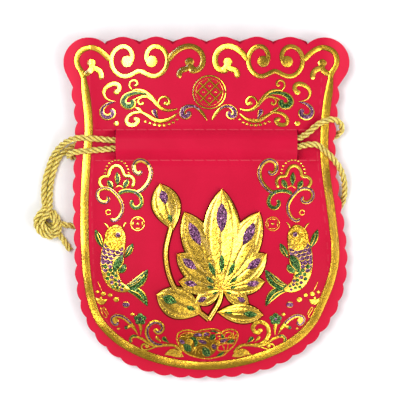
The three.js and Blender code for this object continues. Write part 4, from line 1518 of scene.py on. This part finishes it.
# Raised lotus in the middle of the front
lotus = {
    "bloom": (6.4, -34.0),
    # turn clockwise from up, length, width, height added so that inner petals lie over outer ones
    "petals": [
        (118, 13, 8, 0.0), (-118, 13, 8, 0.0), (80, 18.5, 9.5, 0.08), (-80, 18.5, 9.5, 0.08),
        (52, 24, 12.5, 0.16), (-52, 24, 12.5, 0.16), (26, 36, 15, 0.26), (-26, 36, 15, 0.26),
        (0, 42, 17, 0.4),
    ],
    # x, y, turn, length, width, finish of the inlay
    "leaves": [
        (-13.6, -9.5, -17, 20.5, 13, "purple"),
        (-1.5, -44.0, -68, 21, 14.5, "green"),
        (4.0, -43.5, 94, 20, 9.5, "green"),
    ],
    "leafLift": 0.1,
    "stalks": [
        [(6.4, -31), (5.6, -38.5), (1.0, -46.8)],
        [(-14.4, -6.5), (-17.0, -20), (-13.0, -34), (1.0, -46.8)],
    ],
    "stalkWidth": 3.0,
    "stalkStep": 0.6,
    "rim": 0.85,
    "crown": 0.55,
    "roundness": 0.97,
    "veins": (-0.66, 0.0, 0.66),  # a groove down the middle and one near each side
    "veinDepth": 0.14,
    "veinWidth": 0.05,
    "lean": 1.15,
    "fullness": 0.7,
    "leastWidth": 0.12,
    "edge": 0.68,  # width of the slanted edge, painted dark as shade
    "leastTop": 0.4,  # share of the width that the edges leave at least
    "lengthSteps": 44,
    "acrossSteps": 25,
}


def domeAt(across):
    rounded = np.sqrt(np.clip(1.0 - (lotus["roundness"] * across) ** 2, 0.0, 1.0))
    return lotus["rim"] + lotus["crown"] * rounded


# A domed section with a slanted edge, and with grooves for the veins
def petalSection(widths, veined):
    shoulder = np.clip(1.0 - 2.0 * lotus["edge"] / widths, lotus["leastTop"], 1.0)
    inside = np.linspace(-1.0, 1.0, lotus["acrossSteps"])
    dome = domeAt(inside)
    for at in lotus["veins"] if veined else ():
        dome = dome - lotus["veinDepth"] * np.exp(-((inside - at) / lotus["veinWidth"]) ** 2)
    one = np.ones((len(widths), 1))
    across = np.hstack([-one, shoulder[:, None] * inside, one])
    low = -foilSheet["sunk"] * one
    return across, np.hstack([low, np.tile(dome, (len(widths), 1)), low])


# Ornament on a petal, by shares of its length and half width
petalPrint = {
    "inlays": [(0.55, 0.88, 0.28), (0.16, 0.36, 0.15)],  # start, end and share of the petal's width
    "inlayRim": 0.75,
    "inlayRimLift": -0.04,
    "inlayLift": 0.05,
    "beads": {
        "from": 0.42, "to": 0.88, "across": 0.76, "step": 1.5, "radius": 0.36, "points": 7, "lift": 0.02,
    },
    "curls": {
        "at": 0.47, "across": 0.36, "reach": 0.17, "turns": 1.35, "closing": 0.8,
        "width": 0.62, "points": 30, "lift": -0.05,
    },
}


# How far foil is lifted to lie on the dome of a petal
def onDome(petal, across):
    return petal["lift"] + domeAt(across) - foilSheet["height"]


def pressInlays(foil, petal, colours):
    crest = onDome(petal, 0.0)
    for (start, stop, share), colour in zip(petalPrint["inlays"], colours):
        part = petal["line"][(petal["t"] >= start) & (petal["t"] <= stop)]
        drop = strokeForms["leaf"](np.linspace(0.0, 1.0, len(part)))
        rimWidth = share * petal["width"] + petalPrint["inlayRim"]
        pressStrip(foil, "relief", part, rimWidth * drop, crest + petalPrint["inlayRimLift"])
        pressStrip(foil, colour, part, share * petal["width"] * drop, crest + petalPrint["inlayLift"])


# A row of beads near one side
def pressBeads(foil, petal, side):
    beads = petalPrint["beads"]
    heading, length = petal["heading"], petal["length"]
    height = onDome(petal, beads["across"]) + beads["lift"]
    for at in np.arange(beads["from"], beads["to"], beads["step"] / length):
        half = np.interp(at, petal["t"], petal["widths"]) / 2
        spot = petal["line"][0] + heading * at * length + side * beads["across"] * half
        run = np.linspace(-beads["radius"], beads["radius"], beads["points"])[:, None] * heading + spot
        pressEven(foil, "relief", run, 2 * beads["radius"], height)


# A curl that winds inwards beside the middle
def pressCurl(foil, petal, side):
    curls = petalPrint["curls"]
    start, heading, length, width = (petal[key] for key in ("start", "heading", "length", "width"))
    wind = np.linspace(0.0, 1.0, curls["points"])
    angle = 2 * math.pi * curls["turns"] * wind
    radius = curls["reach"] * width * (1.0 - curls["closing"] * wind)
    foot = start + heading * curls["at"] * length + side * curls["across"] * width / 2
    bend = foot + radius[:, None] * (np.cos(angle)[:, None] * heading - np.sin(angle)[:, None] * side)
    widths = np.interp((bend - start) @ heading / length, petal["t"], petal["widths"])
    across = np.abs((bend - start) @ side) / widths * 2
    pressEven(foil, "relief", bend, curls["width"], onDome(petal, across) + curls["lift"])


def addPetal(foil, x, y, turn, length, width, lift, inlay):
    t = np.linspace(0.0, 1.0, lotus["lengthSteps"])
    angle = math.radians(turn)
    heading = np.array([math.sin(angle), math.cos(angle)])
    line = np.array([x, y]) + heading * (length * t[:, None])
    swell = np.clip(np.sin(math.pi * t ** lotus["lean"]), 0.0, 1.0) ** lotus["fullness"]
    widths = np.maximum(width * swell, lotus["leastWidth"])
    across, heights = petalSection(widths, True)
    addStrip(foil, "relief", line, widths, across, heights, lift, "edge")
    petal = {
        "line": line, "t": t, "widths": widths, "start": line[0], "heading": heading,
        "length": length, "width": width, "lift": lift,
    }
    pressInlays(foil, petal, (inlay, "green"))
    leftSide = np.array([-heading[1], heading[0]])
    for side in (leftSide, -leftSide):
        pressBeads(foil, petal, side)
        pressCurl(foil, petal, side)


def addLotusRelief():
    foil = newFoil()
    for points in lotus["stalks"]:
        line = smoothLine(points, lotus["stalkStep"])
        widths = np.full(len(line), lotus["stalkWidth"])
        across, heights = petalSection(widths, False)
        addStrip(foil, "relief", line, widths, across, heights, edge="edge")
    for x, y, turn, length, width, finish in lotus["leaves"]:
        addPetal(foil, x, y, turn, length, width, lotus["leafLift"], finish)
    for turn, length, width, lift in lotus["petals"]:
        addPetal(foil, *lotus["bloom"], turn, length, width, lift, "purple")
    return finishFoil("lotus_relief", foil)


lotusRelief = addLotusRelief()
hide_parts("front_ornament")
print("raised lotus made")


# Studio floor and light
studio = {
    "floorSize": 6.0,  # metres, as are the lights' places and sizes
    "floorColour": (0.92, 0.92, 0.93),
    "floorDim": 0.985,  # share of the colour that the darker specks have
    "floorGrain": 400.0,
    "floorSpan": (0.3, 0.7),
    "floorRough": 0.85,
    "floorGloss": 0.1,
    "skyLow": (1.25, 1.25, 1.27),
    "skyHigh": (0.16, 0.155, 0.15),
    "skyReach": (0.45, 0.92),  # heights of the bright and the dim part, from 0 level to 1 overhead
    "skyStrength": 0.84,
    "lights": [
        {"name": "leftSoftbox", "place": (-0.37, 0.18, 0.95), "size": (0.44, 0.44), "watts": 5.6},
        {"name": "rightSoftbox", "place": (0.38, -0.25, 0.90), "size": (0.34, 0.36), "watts": 0.45},
        {"name": "rightStrip", "place": (0.22, -0.02, 0.95), "size": (0.03, 0.60), "watts": 0.20},
        {"name": "keySoftbox", "place": (0.85, -0.45, 0.85), "size": (0.70, 0.70), "watts": 6.9},
    ],
}


def addFloor():
    half = studio["floorSize"] / 2
    mesh = bpy.data.meshes.new("floor")
    corners = [(-half, -half, 0.0), (half, -half, 0.0), (half, half, 0.0), (-half, half, 0.0)]
    mesh.from_pydata(corners, [], [(0, 1, 2, 3)])
    finish, tree, shader = startFinish("paleFloor")
    place = tree.nodes.new("ShaderNodeTexCoord").outputs["Object"]
    grain = noiseAt(tree, place, studio["floorGrain"], detail=3.0)
    pale = studio["floorColour"]
    dimmer = tuple(studio["floorDim"] * c for c in pale)
    low, high = studio["floorSpan"]
    tree.links.new(rampOf(tree, grain, [(low, dimmer), (high, pale)]), shader.inputs["Base Color"])
    shader.inputs["Roughness"].default_value = studio["floorRough"]
    shader.inputs["Specular IOR Level"].default_value = studio["floorGloss"]
    mesh.materials.append(finish)
    floor = bpy.data.objects.new("floor", mesh)
    bpy.context.scene.collection.objects.link(floor)


# Every light points at the middle of the pouch
def addLights():
    for row in studio["lights"]:
        lamp = bpy.data.lights.new(row["name"], "AREA")
        lamp.shape = "RECTANGLE"
        lamp.size, lamp.size_y = row["size"]
        lamp.energy = row["watts"]
        light = bpy.data.objects.new(row["name"], lamp)
        light.location = row["place"]
        light.rotation_euler = (-Vector(row["place"])).to_track_quat("-Z", "Y").to_euler()
        bpy.context.scene.collection.objects.link(light)


# A dim sky overhead and a bright one near the floor, so that flat foil has something dark to reflect
def addSky():
    world = bpy.data.worlds.new("studioSky")
    bpy.context.scene.world = world
    world.use_nodes = True
    tree = world.node_tree
    sky = tree.nodes["Background"]
    coords = tree.nodes.new("ShaderNodeTexCoord")
    split = tree.nodes.new("ShaderNodeSeparateXYZ")
    tree.links.new(coords.outputs["Generated"], split.inputs["Vector"])
    low, high = studio["skyReach"]
    shade = rampOf(tree, split.outputs["Z"], [(low, studio["skyLow"]), (high, studio["skyHigh"])])
    tree.links.new(shade, sky.inputs["Color"])
    sky.inputs["Strength"].default_value = studio["skyStrength"]
    bpy.context.scene.view_settings.view_transform = "Standard"


addFloor()
addLights()
addSky()
print("studio lit")
